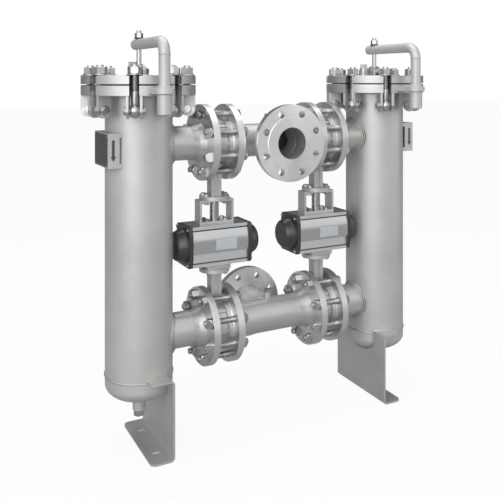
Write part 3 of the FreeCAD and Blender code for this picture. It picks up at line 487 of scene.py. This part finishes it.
def soft_copy(name, width):
    """A closed copy of a node, with soft edges and the node's finish."""
    piece = bpy.data.objects.new(name + "_skin", nodes[name].data.copy())
    bpy.context.collection.objects.link(piece)
    skin = bmesh.new()
    skin.from_mesh(piece.data)
    drop_twins(skin)
    bmesh.ops.remove_doubles(skin, verts=skin.verts, dist=0.00002)
    bmesh.ops.dissolve_limit(skin, angle_limit=math.radians(0.5), verts=skin.verts, edges=skin.edges)
    if name in WINDING:
        bmesh.ops.triangulate(skin, faces=[face for face in skin.faces if len(face.verts) > 4])
    skin.to_mesh(piece.data)
    skin.free()
    soften(piece, width)
    piece.data.materials.clear()
    piece.data.materials.append(finish_of[name])
    return settle(piece, body_of[name], slot_of[name], name)


# %% The width of each soft edge, in millimetres
soft_width = {"davit_arms": 1.2, "davit_sockets": 1.0, "upper_tee": 0.8, "lower_tee": 0.8,
              "adaptor_plates": 0.8, "plate_carriers": 0.5, "name_plates": 0.2, "end_caps": 1.8,
              "lifting_rods": 0.5, "pipe_plugs": 0.7}
for side in SIDES:
    soft_width |= {f"vessel_{side}": 0.8, f"cover_{side}": 0.8, f"bolt_lugs_{side}": 0.6,
                   f"nozzles_{side}": 0.8, f"support_bracket_{side}": 0.7, f"yoke_{side}": 0.7,
                   f"actuator_body_{side}": 0.4, f"valve_body_upper_{side}": 1.2,
                   f"valve_body_lower_{side}": 1.2, f"disc_upper_{side}": 0.4,
                   f"disc_lower_{side}": 0.4}
skins = {name: soft_copy(name, width / 1000) for name, width in soft_width.items()}
print("soft copies", len(skins), "faces", sum(len(piece.data.polygons) for piece in skins.values()))

# %% [markdown]
# The flanges are turned, while the pipe behind them is only blasted. Both are one welded
# piece, so the turned finish is laid on the faces that belong to a flange. The bore is as it
# left the pipe mill, duller and darker than the outside, because the blast doesn't reach it.
# A face of the bore is known by all its corners, since the centre of a flange's ring lies
# inside the bore as well.

# %% Turned flange faces
def refinish(piece, finish, belongs, every_corner=False):
    """Gives a finish to the faces whose centre, or whose every corner, passes a test."""
    piece.data.materials.append(finish)
    index = len(piece.data.materials) - 1
    count = 0
    for face in piece.data.polygons:
        places = [face.center]
        if every_corner:
            places = [piece.data.vertices[corner].co for corner in face.vertices]
        if all(belongs(place) for place in places):
            face.material_index = index
            count += 1
    return count


TEE_FLANGE_X = 0.1145
TEE_FLANGE_Y = 0.1135
NOZZLE_FLANGE_X = 0.2035
BODY_FLANGE_Z = 0.8785
BORE = 0.0425
BORE_END = 0.1345
bore = blasted_steel("pipe_bore", (0.42, 0.43, 0.43), 0.5, 0.3)
turned_faces = 0
for level, height in LINES.items():
    across = turned_steel(f"turned_{level}_across", "X", (0, 0, height))
    # Painted highlight: the flanges that face along y get a lighter grey, 0.95 against 0.80, though they
    # are the same turned steel.
    outward = turned_steel(f"turned_{level}_outward", "Y", (0, 0, height), 0.95)
    tee = skins[f"{level}_tee"]
    turned_faces += refinish(tee, across, lambda at: abs(at.x) > TEE_FLANGE_X)
    turned_faces += refinish(tee, outward, lambda at: abs(at.y) > TEE_FLANGE_Y and abs(at.x) < 0.11)
    for side in SIDES:
        turned_faces += refinish(
            skins[f"nozzles_{side}"], across,
            lambda at, height=height: abs(at.x) < NOZZLE_FLANGE_X and abs(at.z - height) < 0.12)
    branch = -1 if level == "upper" else 1
    refinish(tee, bore, lambda at, height=height, branch=branch: (
        math.hypot(at.y, at.z - height) < BORE
        or (math.hypot(at.x, at.z - height) < BORE and 0 < at.y * branch < BORE_END)), every_corner=True)
for side in SIDES:
    turned_faces += refinish(skins[f"vessel_{side}"], turned_cover[side], lambda at: at.z > BODY_FLANGE_Z)
print("turned faces", turned_faces)

# %% [markdown]
# An actuator's extrusion has a milled rail along each pad, a milled flat under the barrel and
# a narrow slot beside each rail, where a switch can be clipped. The slot is so deep for its
# width that it lies in shade, and its faces are painted near black as painted shade. All run
# the whole length, so height and depth tell them apart.

# %% Rails and slots of the actuators
milled = new_finish("milled_rail", (0.86, 0.87, 0.88), 1.0, 0.34)
raise_surface(milled, speckle(milled, 0.0016, 2, (0.02, 1, 1)), 0.00005, 0.5)
vary_roughness(milled, speckle(milled, 0.02, 3), 0.3, 0.38)
# Painted shade: the slot's faces get a near-black finish that stands for the shade deep inside the slot.
slot_painted_shade = new_finish("painted_slot_shade", (0.10, 0.10, 0.105), 0.6, 0.5)
vary_roughness(slot_painted_shade, speckle(slot_painted_shade, 0.01, 3), 0.42, 0.58)


def on_rail(at):
    up = at.z - ACTUATOR_Z
    return abs(at.y) > 0.0385 and (0.044 < abs(up) < 0.0515 or -0.0395 < up < -0.0195)


def in_slot(at):
    return 0.0368 < abs(at.y) < 0.0398 and 0.0402 < abs(at.z - ACTUATOR_Z) < 0.0433


for side in SIDES:
    body = skins[f"actuator_body_{side}"]
    rails = refinish(body, milled, on_rail)
    print(side, "rail faces", rails, "slot faces", refinish(body, slot_painted_shade, in_slot))

# %% [markdown]
# The hinge pins are bright bolts, but in the CAD model they are one piece with the blasted
# lugs. The faces close to a pin's line and outside the lug's cheek belong to its head.

# %% Bright heads on the hinge pins
HINGE_Z = 0.843
HINGE_CIRCLE = 0.12
LUG_CHEEK = 0.0198
HEAD_REACH = 0.014


def hinge_of(sign, number):
    """The place of an eye bolt's hinge, and the way outwards from the vessel's axis."""
    angle = math.radians(22.5 + 45 * (number - 1))
    outward = Vector((-sign * math.cos(angle), math.sin(angle), 0))
    return Vector((sign * VESSEL_X, 0, HINGE_Z)) + HINGE_CIRCLE * outward, outward


def on_pin_head(at, hinges):
    for hinge, outward in hinges:
        along = Vector((-outward.y, outward.x, 0))
        reach = (at - hinge).dot(along)
        if abs(reach) > LUG_CHEEK and ((at - hinge) - along * reach).length < HEAD_REACH:
            return True
    return False


pin_faces = 0
for side, sign in SIDES.items():
    hinges = [hinge_of(sign, number) for number in range(1, 9)]
    pin_faces += refinish(skins[f"bolt_lugs_{side}"], bright_nut,
                          lambda at, hinges=hinges: on_pin_head(at, hinges))
print("pin faces", pin_faces)

# %% [markdown]
# Nuts, screws and studs repeat many times. Each is modelled once, and a Geometry Nodes tree
# places copies of it on the points of a small seed mesh. The tree has inputs for what changes,
# and a stored attribute on each point says how its copy is turned. At the end the copies
# become a real mesh with a finish, because the exported model knows no instances.

# %% Growing pieces on points
def new_tree(name, inputs):
    """An empty tree whose group inputs are these labels and kinds."""
    tree = bpy.data.node_groups.new(name, "GeometryNodeTree")
    tree.interface.new_socket("Geometry", in_out="INPUT", socket_type="NodeSocketGeometry")
    for label, kind in inputs:
        tree.interface.new_socket(label, in_out="INPUT", socket_type=f"NodeSocket{kind}")
    tree.interface.new_socket("Geometry", in_out="OUTPUT", socket_type="NodeSocketGeometry")
    return tree, tree.nodes.new("NodeGroupInput"), tree.nodes.new("NodeGroupOutput")


def end_tree(tree, start, end, copies):
    """Makes the copies real and gives them the finish."""
    real = add_node(tree, "GeometryNodeRealizeInstances")
    coat = add_node(tree, "GeometryNodeSetMaterial")
    tree.links.new(copies, real.inputs["Geometry"])
    wire(tree, real, "Geometry", coat, "Geometry")
    wire(tree, start, "Finish", coat, "Material")
    wire(tree, coat, "Geometry", end, "Geometry")


def make_fastener_tree():
    """Copies one object to every point, turned by the point's own angles."""
    tree, start, end = new_tree("fastener_pattern", [("Fastener", "Object"), ("Finish", "Material")])
    fastener = add_node(tree, "GeometryNodeObjectInfo")
    turn = add_node(tree, "GeometryNodeInputNamedAttribute", {"Name": "turn"}, data_type="FLOAT_VECTOR")
    place = add_node(tree, "GeometryNodeInstanceOnPoints")
    wire(tree, start, "Geometry", place, "Points")
    wire(tree, start, "Fastener", fastener, "Object")
    wire(tree, fastener, "Geometry", place, "Instance")
    wire(tree, turn, "Attribute", place, "Rotation")
    end_tree(tree, start, end, place.outputs["Instances"])
    return tree


def set_input(modifier, label, value):
    """A modifier's input is set by its socket's identifier, which the tree's interface knows."""
    for item in modifier.node_group.interface.items_tree:
        if item.item_type == "SOCKET" and item.in_out == "INPUT" and item.name == label:
            modifier[item.identifier] = value


def grown(name, points, edges, tree, settings, turns=None):
    """A plain mesh that a tree grows on these points, in metres."""
    seed = bpy.data.meshes.new(name + "_seed")
    seed.from_pydata(points, edges, [])
    if turns:
        layer = seed.attributes.new("turn", "FLOAT_VECTOR", "POINT")
        layer.data.foreach_set("vector", [value for turn in turns for value in turn])
    maker = bpy.data.objects.new(name, seed)
    bpy.context.collection.objects.link(maker)
    modifier = maker.modifiers.new("grow", "NODES")
    modifier.node_group = tree
    for label, value in settings.items():
        set_input(modifier, label, value)
    mesh = evaluated_mesh(maker)
    maker.modifiers.clear()
    maker.data = mesh
    return maker


fastener_tree = make_fastener_tree()


def fasten(name, points, pattern, finish, turns, slot, *replaced, body="frame"):
    """Puts copies of a pattern on points, as one piece that rides on a body."""
    piece = grown(name, points, [], fastener_tree, {"Fastener": pattern, "Finish": finish}, turns)
    return settle(piece, body, slot, *replaced)


print("fastener tree nodes", len(fastener_tree.nodes))

# %% [markdown]
# A real nut is a hexagon turned to a cone at its corners, which leaves a curved edge on each
# flat. A bevel can't make that curve, but it follows from one rule: the height of the edge
# falls with the distance from the axis. So the rim is laid out point by point.

# %% Nuts, studs and screws
def keep_as_pattern(name, skin):
    """Stores a finished bmesh as a hidden object that the tree copies."""
    bmesh.ops.recalc_face_normals(skin, faces=skin.faces)
    mesh = bpy.data.meshes.new(name)
    skin.to_mesh(mesh)
    skin.free()
    for face in mesh.polygons:
        face.use_smooth = True
    mesh.set_sharp_from_angle(angle=math.radians(28))
    return bpy.data.objects.new(name, mesh)


def bridge_rings(skin, rings):
    """Joins rings of points with faces, and closes both ends."""
    for lower, upper in zip(rings, rings[1:]):
        for index in range(len(lower)):
            after = (index + 1) % len(lower)
            skin.faces.new((lower[index], lower[after], upper[after], upper[index]))
    skin.faces.new(list(reversed(rings[0])))
    skin.faces.new(rings[-1])


def hexagon_fastener(name, flats, height, both_ends=True, steps=48):
    """A hexagon with coned corners, standing on z = 0."""
    skin = bmesh.new()
    inner = 0.475 * flats
    angles = [2 * math.pi * index / steps for index in range(steps)]
    reach = [flats / 2 / math.cos((angle + math.pi / 6) % (math.pi / 3) - math.pi / 6) for angle in angles]
    fall = [max(0, radius - inner) * math.tan(math.radians(28)) for radius in reach]
    low = [value if both_ends else 0 for value in fall]

    def ring(radii, heights):
        return [skin.verts.new((radius * math.cos(angle), radius * math.sin(angle), at))
                for radius, angle, at in zip(radii, angles, heights)]

    foot = [inner] * steps if both_ends else [value * 0.99 for value in reach]
    bridge_rings(skin, [ring(foot, [0] * steps), ring(reach, low),
                        ring(reach, [height - value for value in fall]),
                        ring([inner] * steps, [height] * steps)])
    return keep_as_pattern(name, skin)


def lathe(name, outline, steps=32):
    """A round piece about z, from (radius, height) pairs listed upwards."""
    skin = bmesh.new()
    rings = []
    for radius, height in outline:
        rings.append([skin.verts.new((radius * math.cos(2 * math.pi * index / steps),
                                      radius * math.sin(2 * math.pi * index / steps), height))
                      for index in range(steps)])
    bridge_rings(skin, rings)
    return keep_as_pattern(name, skin)


def thread(radius, pitch, start, end):
    """The outline of a threaded length: a crest and a root in every pitch."""
    depth = 0.54 * pitch
    count = int((end - start) / pitch)
    outline = []
    for turn in range(count):
        outline += [(radius - depth, start + turn * pitch), (radius, start + (turn + 0.5) * pitch)]
    return outline + [(radius - depth, start + count * pitch)]


flange_nut = hexagon_fastener("flange_nut", 0.024, 0.014)
stud_half = 0.061
flange_stud = lathe("flange_stud", [(0.0062, -stud_half)] + thread(0.008, 0.002, 0.0012 - stud_half, -0.012)
                    + [(0.0076, -0.0115), (0.0076, 0.0115)]
                    + thread(0.008, 0.002, 0.012, stud_half - 0.0012) + [(0.0062, stud_half)], 20)
print("stud faces", len(flange_stud.data.polygons), "nut faces", len(flange_nut.data.polygons))

# %% [markdown]
# Eight studs clamp each valve between its two flanges, threaded at both ends, with a nut at
# either end. The nuts are left at different angles, as a spanner leaves them.

# %% The studs of all four valves
STUD_CIRCLE = 0.08
NUT_SEAT = 0.043
ALONG_X = (0, math.pi / 2, 0)
stud_points = []
nut_points = []
nut_turns = []
for sign in SIDES.values():
    for height in LINES.values():
        for step in range(8):
            angle = math.radians(45 * (step + 0.5))
            y = STUD_CIRCLE * math.cos(angle)
            z = height + STUD_CIRCLE * math.sin(angle)
            stud_points.append((sign * VALVE_X, y, z))
            for end in (-1, 1):
                nut_points.append((sign * VALVE_X + end * NUT_SEAT, y, z))
                nut_turns.append((step * 0.31 + end * 0.2, end * math.pi / 2, 0))
fasten("valve_studs", stud_points, flange_stud, rolled_thread, [ALONG_X] * len(stud_points),
       "bolt_steel", "flange_studs")
fasten("valve_stud_nuts", nut_points, flange_nut, bright_nut, nut_turns, "bolt_steel", "flange_studs")
print("studs", len(stud_points), "nuts", len(nut_points))

# %% [markdown]
# Each cover is held by eight swing bolts. The eye is a ball with two flat cheeks and turns
# on a pin, the shank is threaded to where it leaves the flange, and the nut bears on a washer.
# All sixteen are the same, but each one swings by itself, so each is grown on its own body.

# %% The swing bolts
def merge_patterns(name, parts):
    """Joins patterns that are made round the same axis into one."""
    joined = bmesh.new()
    for part, lift in parts:
        step = bmesh.new()
        step.from_mesh(part.data)
        bmesh.ops.translate(step, verts=step.verts, vec=(0, 0, lift))
        mesh = bpy.data.meshes.new("part")
        step.to_mesh(mesh)
        step.free()
        joined.from_mesh(mesh)
    result = bpy.data.meshes.new(name)
    joined.to_mesh(result)
    joined.free()
    result.set_sharp_from_angle(angle=math.radians(28))
    return bpy.data.objects.new(name, result)


def ball_eye(radius, width, bore, steps=40):
    """A ball with flat cheeks across y, and a hole for the pin."""
    skin = bmesh.new()
    cheek = math.asin(width / 2 / radius)
    outline = [(bore, -width / 2)]
    for index in range(13):
        latitude = -cheek + 2 * cheek * index / 12
        outline.append((radius * math.cos(latitude), radius * math.sin(latitude)))
    outline.append((bore, width / 2))
    turns = [2 * math.pi * k / steps for k in range(steps)]
    rings = [[skin.verts.new((r * math.cos(turn), h, r * math.sin(turn))) for turn in turns]
             for r, h in outline]
    rings.append(rings[0])
    for lower, upper in zip(rings, rings[1:]):
        for k in range(steps):
            after = (k + 1) % steps
            skin.faces.new((lower[k], lower[after], upper[after], upper[k]))
    return keep_as_pattern("ball_eye", skin)


WASHER_Z = 0.9278
NUT_Z = 0.9308
BOLT_TOP = 0.9518
eye = ball_eye(0.017, 0.021, 0.0071)
top = BOLT_TOP - HINGE_Z
shank = lathe("shank", [(0.009, 0.0135), (0.0098, 0.02), (0.0098, 0.046)]
              + thread(0.0099, 0.0025, 0.047, top - 0.002) + [(0.0078, top)], 28)
washer = lathe("washer", [(0.0179, 0), (0.0185, 0.0005), (0.0185, 0.0025), (0.0179, 0.003)], 40)
cover_nut = hexagon_fastener("cover_nut", 0.030, 0.016)
swing_bolt = merge_patterns("swing_bolt", [
    (eye, 0), (shank, 0), (washer, WASHER_Z - HINGE_Z), (cover_nut, NUT_Z - HINGE_Z)])
for side, sign in SIDES.items():
    for number in range(1, 9):
        hinge, outward = hinge_of(sign, number)
        fasten(f"swing_bolt_skin_{side}_{number}", [hinge], swing_bolt, bright_nut,
               [(0, 0, math.atan2(outward.y, outward.x))],
               "bolt_steel", f"swing_bolt_{side}_{number}", body=f"bolt_{side}_{number}")
print("swing bolt faces", len(swing_bolt.data.polygons))

# %% [markdown]
# Small screws hold the end caps, the yokes and the valve pads. They have no node of their own,
# because the CAD model leaves small fasteners out, and they sit with their heads on the faces
# that the CAD model gives. The last angle of each hexagon differs from screw to screw.

# %% Screws on caps, yokes and pads
socket_screw = lathe("socket_screw", [(0.0042, 0), (0.0045, 0.0004), (0.0045, 0.0042), (0.0040, 0.0047),
                                      (0.0024, 0.0047), (0.0024, 0.0022)], 24)
pad_screw = hexagon_fastener("pad_screw", 0.013, 0.0065, both_ends=False)
cap_points = []
cap_turns = []
pad_points = []
pad_turns = []
for sign in SIDES.values():
    for end in (-1, 1):
        for y in (-0.0345, 0.0345):
            for z in (ACTUATOR_Z - 0.0445, ACTUATOR_Z + 0.0445):
                cap_points.append((sign * VALVE_X + end * 0.0885, y, z))
                cap_turns.append((0, end * math.pi / 2, 0))
    for x in (-0.027, 0.027):
        for y in (-0.0105, 0.0105):
            for z, turn in ((0.611, 0), (0.595, math.pi), (0.545, 0)):
                pad_points.append((sign * VALVE_X + x, y, z))
                pad_turns.append((turn, 0, 0.4 * x * 1000 + z * 9))
        for y in (-0.019, 0.019):
            pad_points.append((sign * VALVE_X + x * 0.85, y, 0.412))
            pad_turns.append((math.pi, 0, 0.3 * y * 1000))
fasten("end_cap_screws", cap_points, socket_screw, bright_nut, cap_turns, "bolt_steel")
fasten("pad_screws", pad_points, pad_screw, bright_nut, pad_turns, "bolt_steel")
print("cap screws", len(cap_points), "pad screws", len(pad_points))

# %% [markdown]
# A rod from the davit ends in an eye between two ears of the cover, held by a pin with a
# hexagon head at both ends.

# %% Heads on the pins between the lifting ears
ear_head = hexagon_fastener("ear_head", 0.017, 0.0045, both_ends=False)
ear_points = []
ear_turns = []
for sign in SIDES.values():
    for end in (-1, 1):
        ear_points.append((sign * VESSEL_X + end * 0.0135, 0, 0.9415))
        ear_turns.append((0.2, end * math.pi / 2, 0))
fasten("ear_pin_heads", ear_points, ear_head, bright_nut, ear_turns, "bolt_steel")
print("ear pin heads", len(ear_points))

# %% [markdown]
# At its upper end the rod passes through the davit's arm, where a nut on a washer carries the
# cover. The washer is black, which paints the shadow in the gap under the nut, over the curved
# top of the arm. The CAD model gives their height, so that they stay on the arm.

# %% The lifting nuts and their black washers
lifting_nut = hexagon_fastener("lifting_nut", 0.018, 0.012)
# Painted shadow: this washer is black for the dark gap under the nut.
rubber_washer = lathe("rubber_washer", [(0.0115, 0), (0.0125, 0.0008), (0.0125, 0.0024), (0.0105, 0.003)],
                      32)
arm_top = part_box("lifting_nuts")[0][2]
ends = [(sign * VESSEL_X, 0, arm_top) for sign in SIDES.values()]
fasten("lifting_nut_skins", [(x, y, z + 0.003) for x, y, z in ends], lifting_nut, bright_nut,
       [(0, 0, 0.2), (0, 0, -0.2)], "bolt_steel", "lifting_nuts")
fasten("lifting_washers", ends, rubber_washer, seat_rubber, [(0, 0, 0), (0, 0, 0)],
       "gasket", "lifting_nuts")
print("arm top", round(arm_top, 4))

# %% [markdown]
# Every pipe joint is a weld, and a weld made by hand is a row of overlapping puddles. Each
# puddle is a flattened ball. A second tree turns a path into a curve, divides it at the
# pitch of the puddles and puts one on each point, each a little different in size.

# %% Growing weld beads along a path
def make_bead_tree():
    """Puts flattened balls along a path, at a pitch."""
    tree, start, end = new_tree("weld_bead", [
        ("Width", "Float"), ("Pitch", "Float"), ("Seed", "Int"), ("Finish", "Material")])
    path = add_node(tree, "GeometryNodeMeshToCurve")
    step = add_node(tree, "GeometryNodeResampleCurve", mode="LENGTH")
    puddle = add_node(tree, "GeometryNodeMeshUVSphere", {"Segments": 6, "Rings": 4})
    half = add_node(tree, "ShaderNodeMath", {1: 2}, operation="DIVIDE")
    wobble = add_node(tree, "FunctionNodeRandomValue", {2: 0.9, 3: 1.1}, data_type="FLOAT")
    tangent = add_node(tree, "GeometryNodeInputTangent")
    along = add_node(tree, "FunctionNodeAlignRotationToVector", axis="Z")
    place = add_node(tree, "GeometryNodeInstanceOnPoints")
    smooth = add_node(tree, "GeometryNodeSetShadeSmooth")
    wire(tree, start, "Geometry", path, "Mesh")
    wire(tree, path, "Curve", step, "Curve")
    wire(tree, start, "Pitch", step, "Length")
    wire(tree, start, "Width", half, 0)
    wire(tree, half, 0, puddle, "Radius")
    wire(tree, puddle, "Mesh", smooth, "Geometry")
    wire(tree, tangent, "Tangent", along, "Vector")
    wire(tree, start, "Seed", wobble, "Seed")
    wire(tree, step, "Curve", place, "Points")
    wire(tree, smooth, "Geometry", place, "Instance")
    wire(tree, along, "Rotation", place, "Rotation")
    wire(tree, wobble, 1, place, "Scale")
    end_tree(tree, start, end, place.outputs["Instances"])
    return tree


bead_tree = make_bead_tree()
weld_bead = bright_steel("weld_bead", (0.60, 0.59, 0.57), 0.3)
print("bead tree nodes", len(bead_tree.nodes))

# %% [markdown]
# The welds follow the joints between the pieces. Most are rings. Where a nozzle meets a shell
# the joint is the curve in which two cylinders cross: at each point of the nozzle's circle,
# the shell's circle gives how far the nozzle reaches. All paths are in millimetres.

# %% The paths of the welds
class Paths:
    """Gathers closed and open paths as points and edges of one seed mesh."""

    def __init__(self):
        self.points = []
        self.edges = []

    def add(self, points, closed=True):
        first = len(self.points)
        self.points += [tuple(value / 1000 for value in point) for point in points]
        last = len(self.points) - 1
        self.edges += [(index, index + 1) for index in range(first, last)]
        if closed:
            self.edges.append((last, first))

    def ring(self, centre, radius, axis, start=0, end=360):
        """A ring, or an arc, about an axis through a centre, in millimetres."""
        closed = end - start == 360
        count = 96
        points = []
        for index in range(count + (0 if closed else 1)):
            angle = math.radians(start + (end - start) * index / count)
            u = radius * math.cos(angle)
            v = radius * math.sin(angle)
            offset = {"x": (0, u, v), "y": (u, 0, v), "z": (u, v, 0)}[axis]
            points.append(tuple(c + o for c, o in zip(centre, offset)))
        self.add(points, closed)


# %% The welds of shells, nozzles, davits and brackets
PIPE = 44.45
SHELL = 84.15
wide_welds = Paths()
fine_welds = Paths()
for sign in SIDES.values():
    middle = sign * 366
    for height in (752, 271):
        for radius, proud in ((PIPE + 0.8, 4.6), (PIPE + 3.6, 2.6), (PIPE + 6.6, 0.6)):
            saddle = []
            for index in range(96):
                angle = 2 * math.pi * index / 96
                y = radius * math.cos(angle)
                saddle.append((middle - sign * (proud + math.sqrt(SHELL ** 2 - y * y)), y,
                               height + radius * math.sin(angle)))
            wide_welds.add(saddle)
        for x in (86, 232):
            fine_welds.ring((sign * x, 0, height), PIPE - 0.4, "x")
    wide_welds.ring((middle, 0, 876.5), SHELL + 0.8, "z")
    wide_welds.ring((middle, 0, 186), SHELL - 0.4, "z")
    fine_welds.ring((middle, 0, 121.5), 16.5, "z")
    fine_welds.ring((middle, -185, 975), 13.2, "z")
    fine_welds.ring((middle, -155, 1005), 13.2, "y")
    fine_welds.ring((middle, -185, 883.5), 17.3, "z")
    fine_welds.ring((middle, -185, 897.5), 17.3, "z")
    start, end = (51, 94) if sign < 0 else (86, 129)
    for arc in ((start, end), (-end, -start)):
        wide_welds.ring((middle, 0, 194.6), SHELL + 0.6, "z", *arc)
        wide_welds.ring((middle, 0, 192.6), SHELL + 2.8, "z", *arc)
    web = sign * 311
    across = 65.4
    for side in (-1, 1):
        wide_welds.add([(web, side * (across + 1.5), 165), (web, side * (across + 1.5), 188)], closed=False)
    wide_welds.add([(web, y, 163 - 42 * math.sqrt(max(0, 1 - (53 ** 2 + y * y) / SHELL ** 2)) - 1.5)
                    for y in [across * step / 24 for step in range(-24, 25)]], closed=False)
print("path points", len(wide_welds.points), "wide,", len(fine_welds.points), "fine")

# %% The welds of the tees, and all beads
for level, outward in ((752, -1), (271, 1)):
    fine_welds.ring((0, outward * 86, level), PIPE - 0.4, "y")
    fine_welds.ring((0, 0, level + 44.2), 10.4, "z")
    wide_welds.add([(PIPE * math.cos(a), outward * abs(PIPE * math.cos(a)), level + PIPE * math.sin(a))
                    for a in [2 * math.pi * index / 96 for index in range(96)]])
for name, paths, width, pitch in (("wide_welds", wide_welds, 0.0052, 0.0021),
                                  ("fine_welds", fine_welds, 0.0026, 0.0017)):
    beads = grown(name, paths.points, paths.edges, bead_tree,
                  {"Width": width, "Pitch": pitch, "Seed": 7, "Finish": weld_bead})
    settle(beads, "frame", "vessel_steel")
    print(name, len(beads.data.polygons))

# %% [markdown]
# The name plate's carrier has a sign on its front leg: an arrow for the way of flow, cut from
# thin sheet. It is drawn as one flat face, a copy of that face goes in front of it, and walls
# join the two along each edge that only one face has. That is all that a sheet needs.

# %% The arrow on each plate carrier
def thin_sheet(name, corners, faces, rise, finish, slot):
    """A flat or folded sheet, in millimetres, with a copy of it in front and walls between."""
    skin = bmesh.new()
    back = [skin.verts.new([value / 1000 for value in corner]) for corner in corners]
    front = [skin.verts.new(corner.co + Vector(rise) / 1000) for corner in back]
    edges = []
    for face in faces:
        skin.faces.new([back[index] for index in face])
        skin.faces.new([front[index] for index in reversed(face)])
        edges += zip(face, [*face[1:], face[0]])
    for start, end in edges:
        if (end, start) not in edges:
            skin.faces.new((back[end], back[start], front[start], front[end]))
    bmesh.ops.recalc_face_normals(skin, faces=skin.faces)
    mesh = bpy.data.meshes.new(name)
    skin.to_mesh(mesh)
    skin.free()
    mesh.materials.append(finish)
    piece = bpy.data.objects.new(name, mesh)
    bpy.context.collection.objects.link(piece)
    return settle(piece, "frame", slot)


sign_paint = new_finish("sign_paint", (0.07, 0.07, 0.075), 0.0, 0.5)
vary_roughness(sign_paint, speckle(sign_paint, 0.004, 3), 0.42, 0.6)
arrow = [(-3.4, 772), (3.4, 772), (3.4, 733), (6.6, 733), (0, 720), (-6.6, 733), (-3.4, 733)]
for side, sign in SIDES.items():
    thin_sheet(f"flow_arrow_{side}", [(sign * 449 + x, -60.02, z) for x, z in arrow],
               [range(len(arrow))], (0, -0.35, 0), sign_paint, "dark_plate")
print("arrow corners", len(arrow))

# %% [markdown]
# A pale, bare sticker lies round the front of each actuator's barrel. It is folded along the
# barrel's edges, so it is three flat strips in a row, a little proud of the metal.

# %% A pale sticker on each barrel
sticker_film = new_finish("sticker_film", (0.52, 0.54, 0.57), 0.0, 0.35)
vary_roughness(sticker_film, speckle(sticker_film, 0.01, 2), 0.28, 0.42)
barrel_front = [(-45.54, 503), (-46, 500), (-46, 478.5), (-45.3, 475.5)]
for side, centre in (("left", -144), ("right", 174)):
    corners = [(centre + across, y - 0.05, z) for y, z in barrel_front for across in (-30, 30)]
    folds = [(row, row + 1, row + 3, row + 2) for row in (0, 2, 4)]
    thin_sheet(f"sticker_{side}", corners, folds, (0, -0.25, 0), sticker_film, "anodised")
print("sticker strips", len(folds))

# %% [markdown]
# Four blind rivets hold each name plate, and their domed heads are all that shows.

# %% Rivets of the name plates
rivet = lathe("rivet", [(0.0022, -0.0002), (0.0022, 0.0002), (0.0017, 0.0009), (0.0006, 0.0013)], 16)
rivet_points = []
rivet_turns = []
for sign in SIDES.values():
    for y in (-0.0535, 0.0535):
        for z in (0.7105, 0.7815):
            rivet_points.append((sign * 0.463, y, z))
            rivet_turns.append((0, sign * math.pi / 2, 0))
fasten("plate_rivets", rivet_points, rivet, bright_nut, rivet_turns, "bolt_steel")
print("rivets", len(rivet_points))
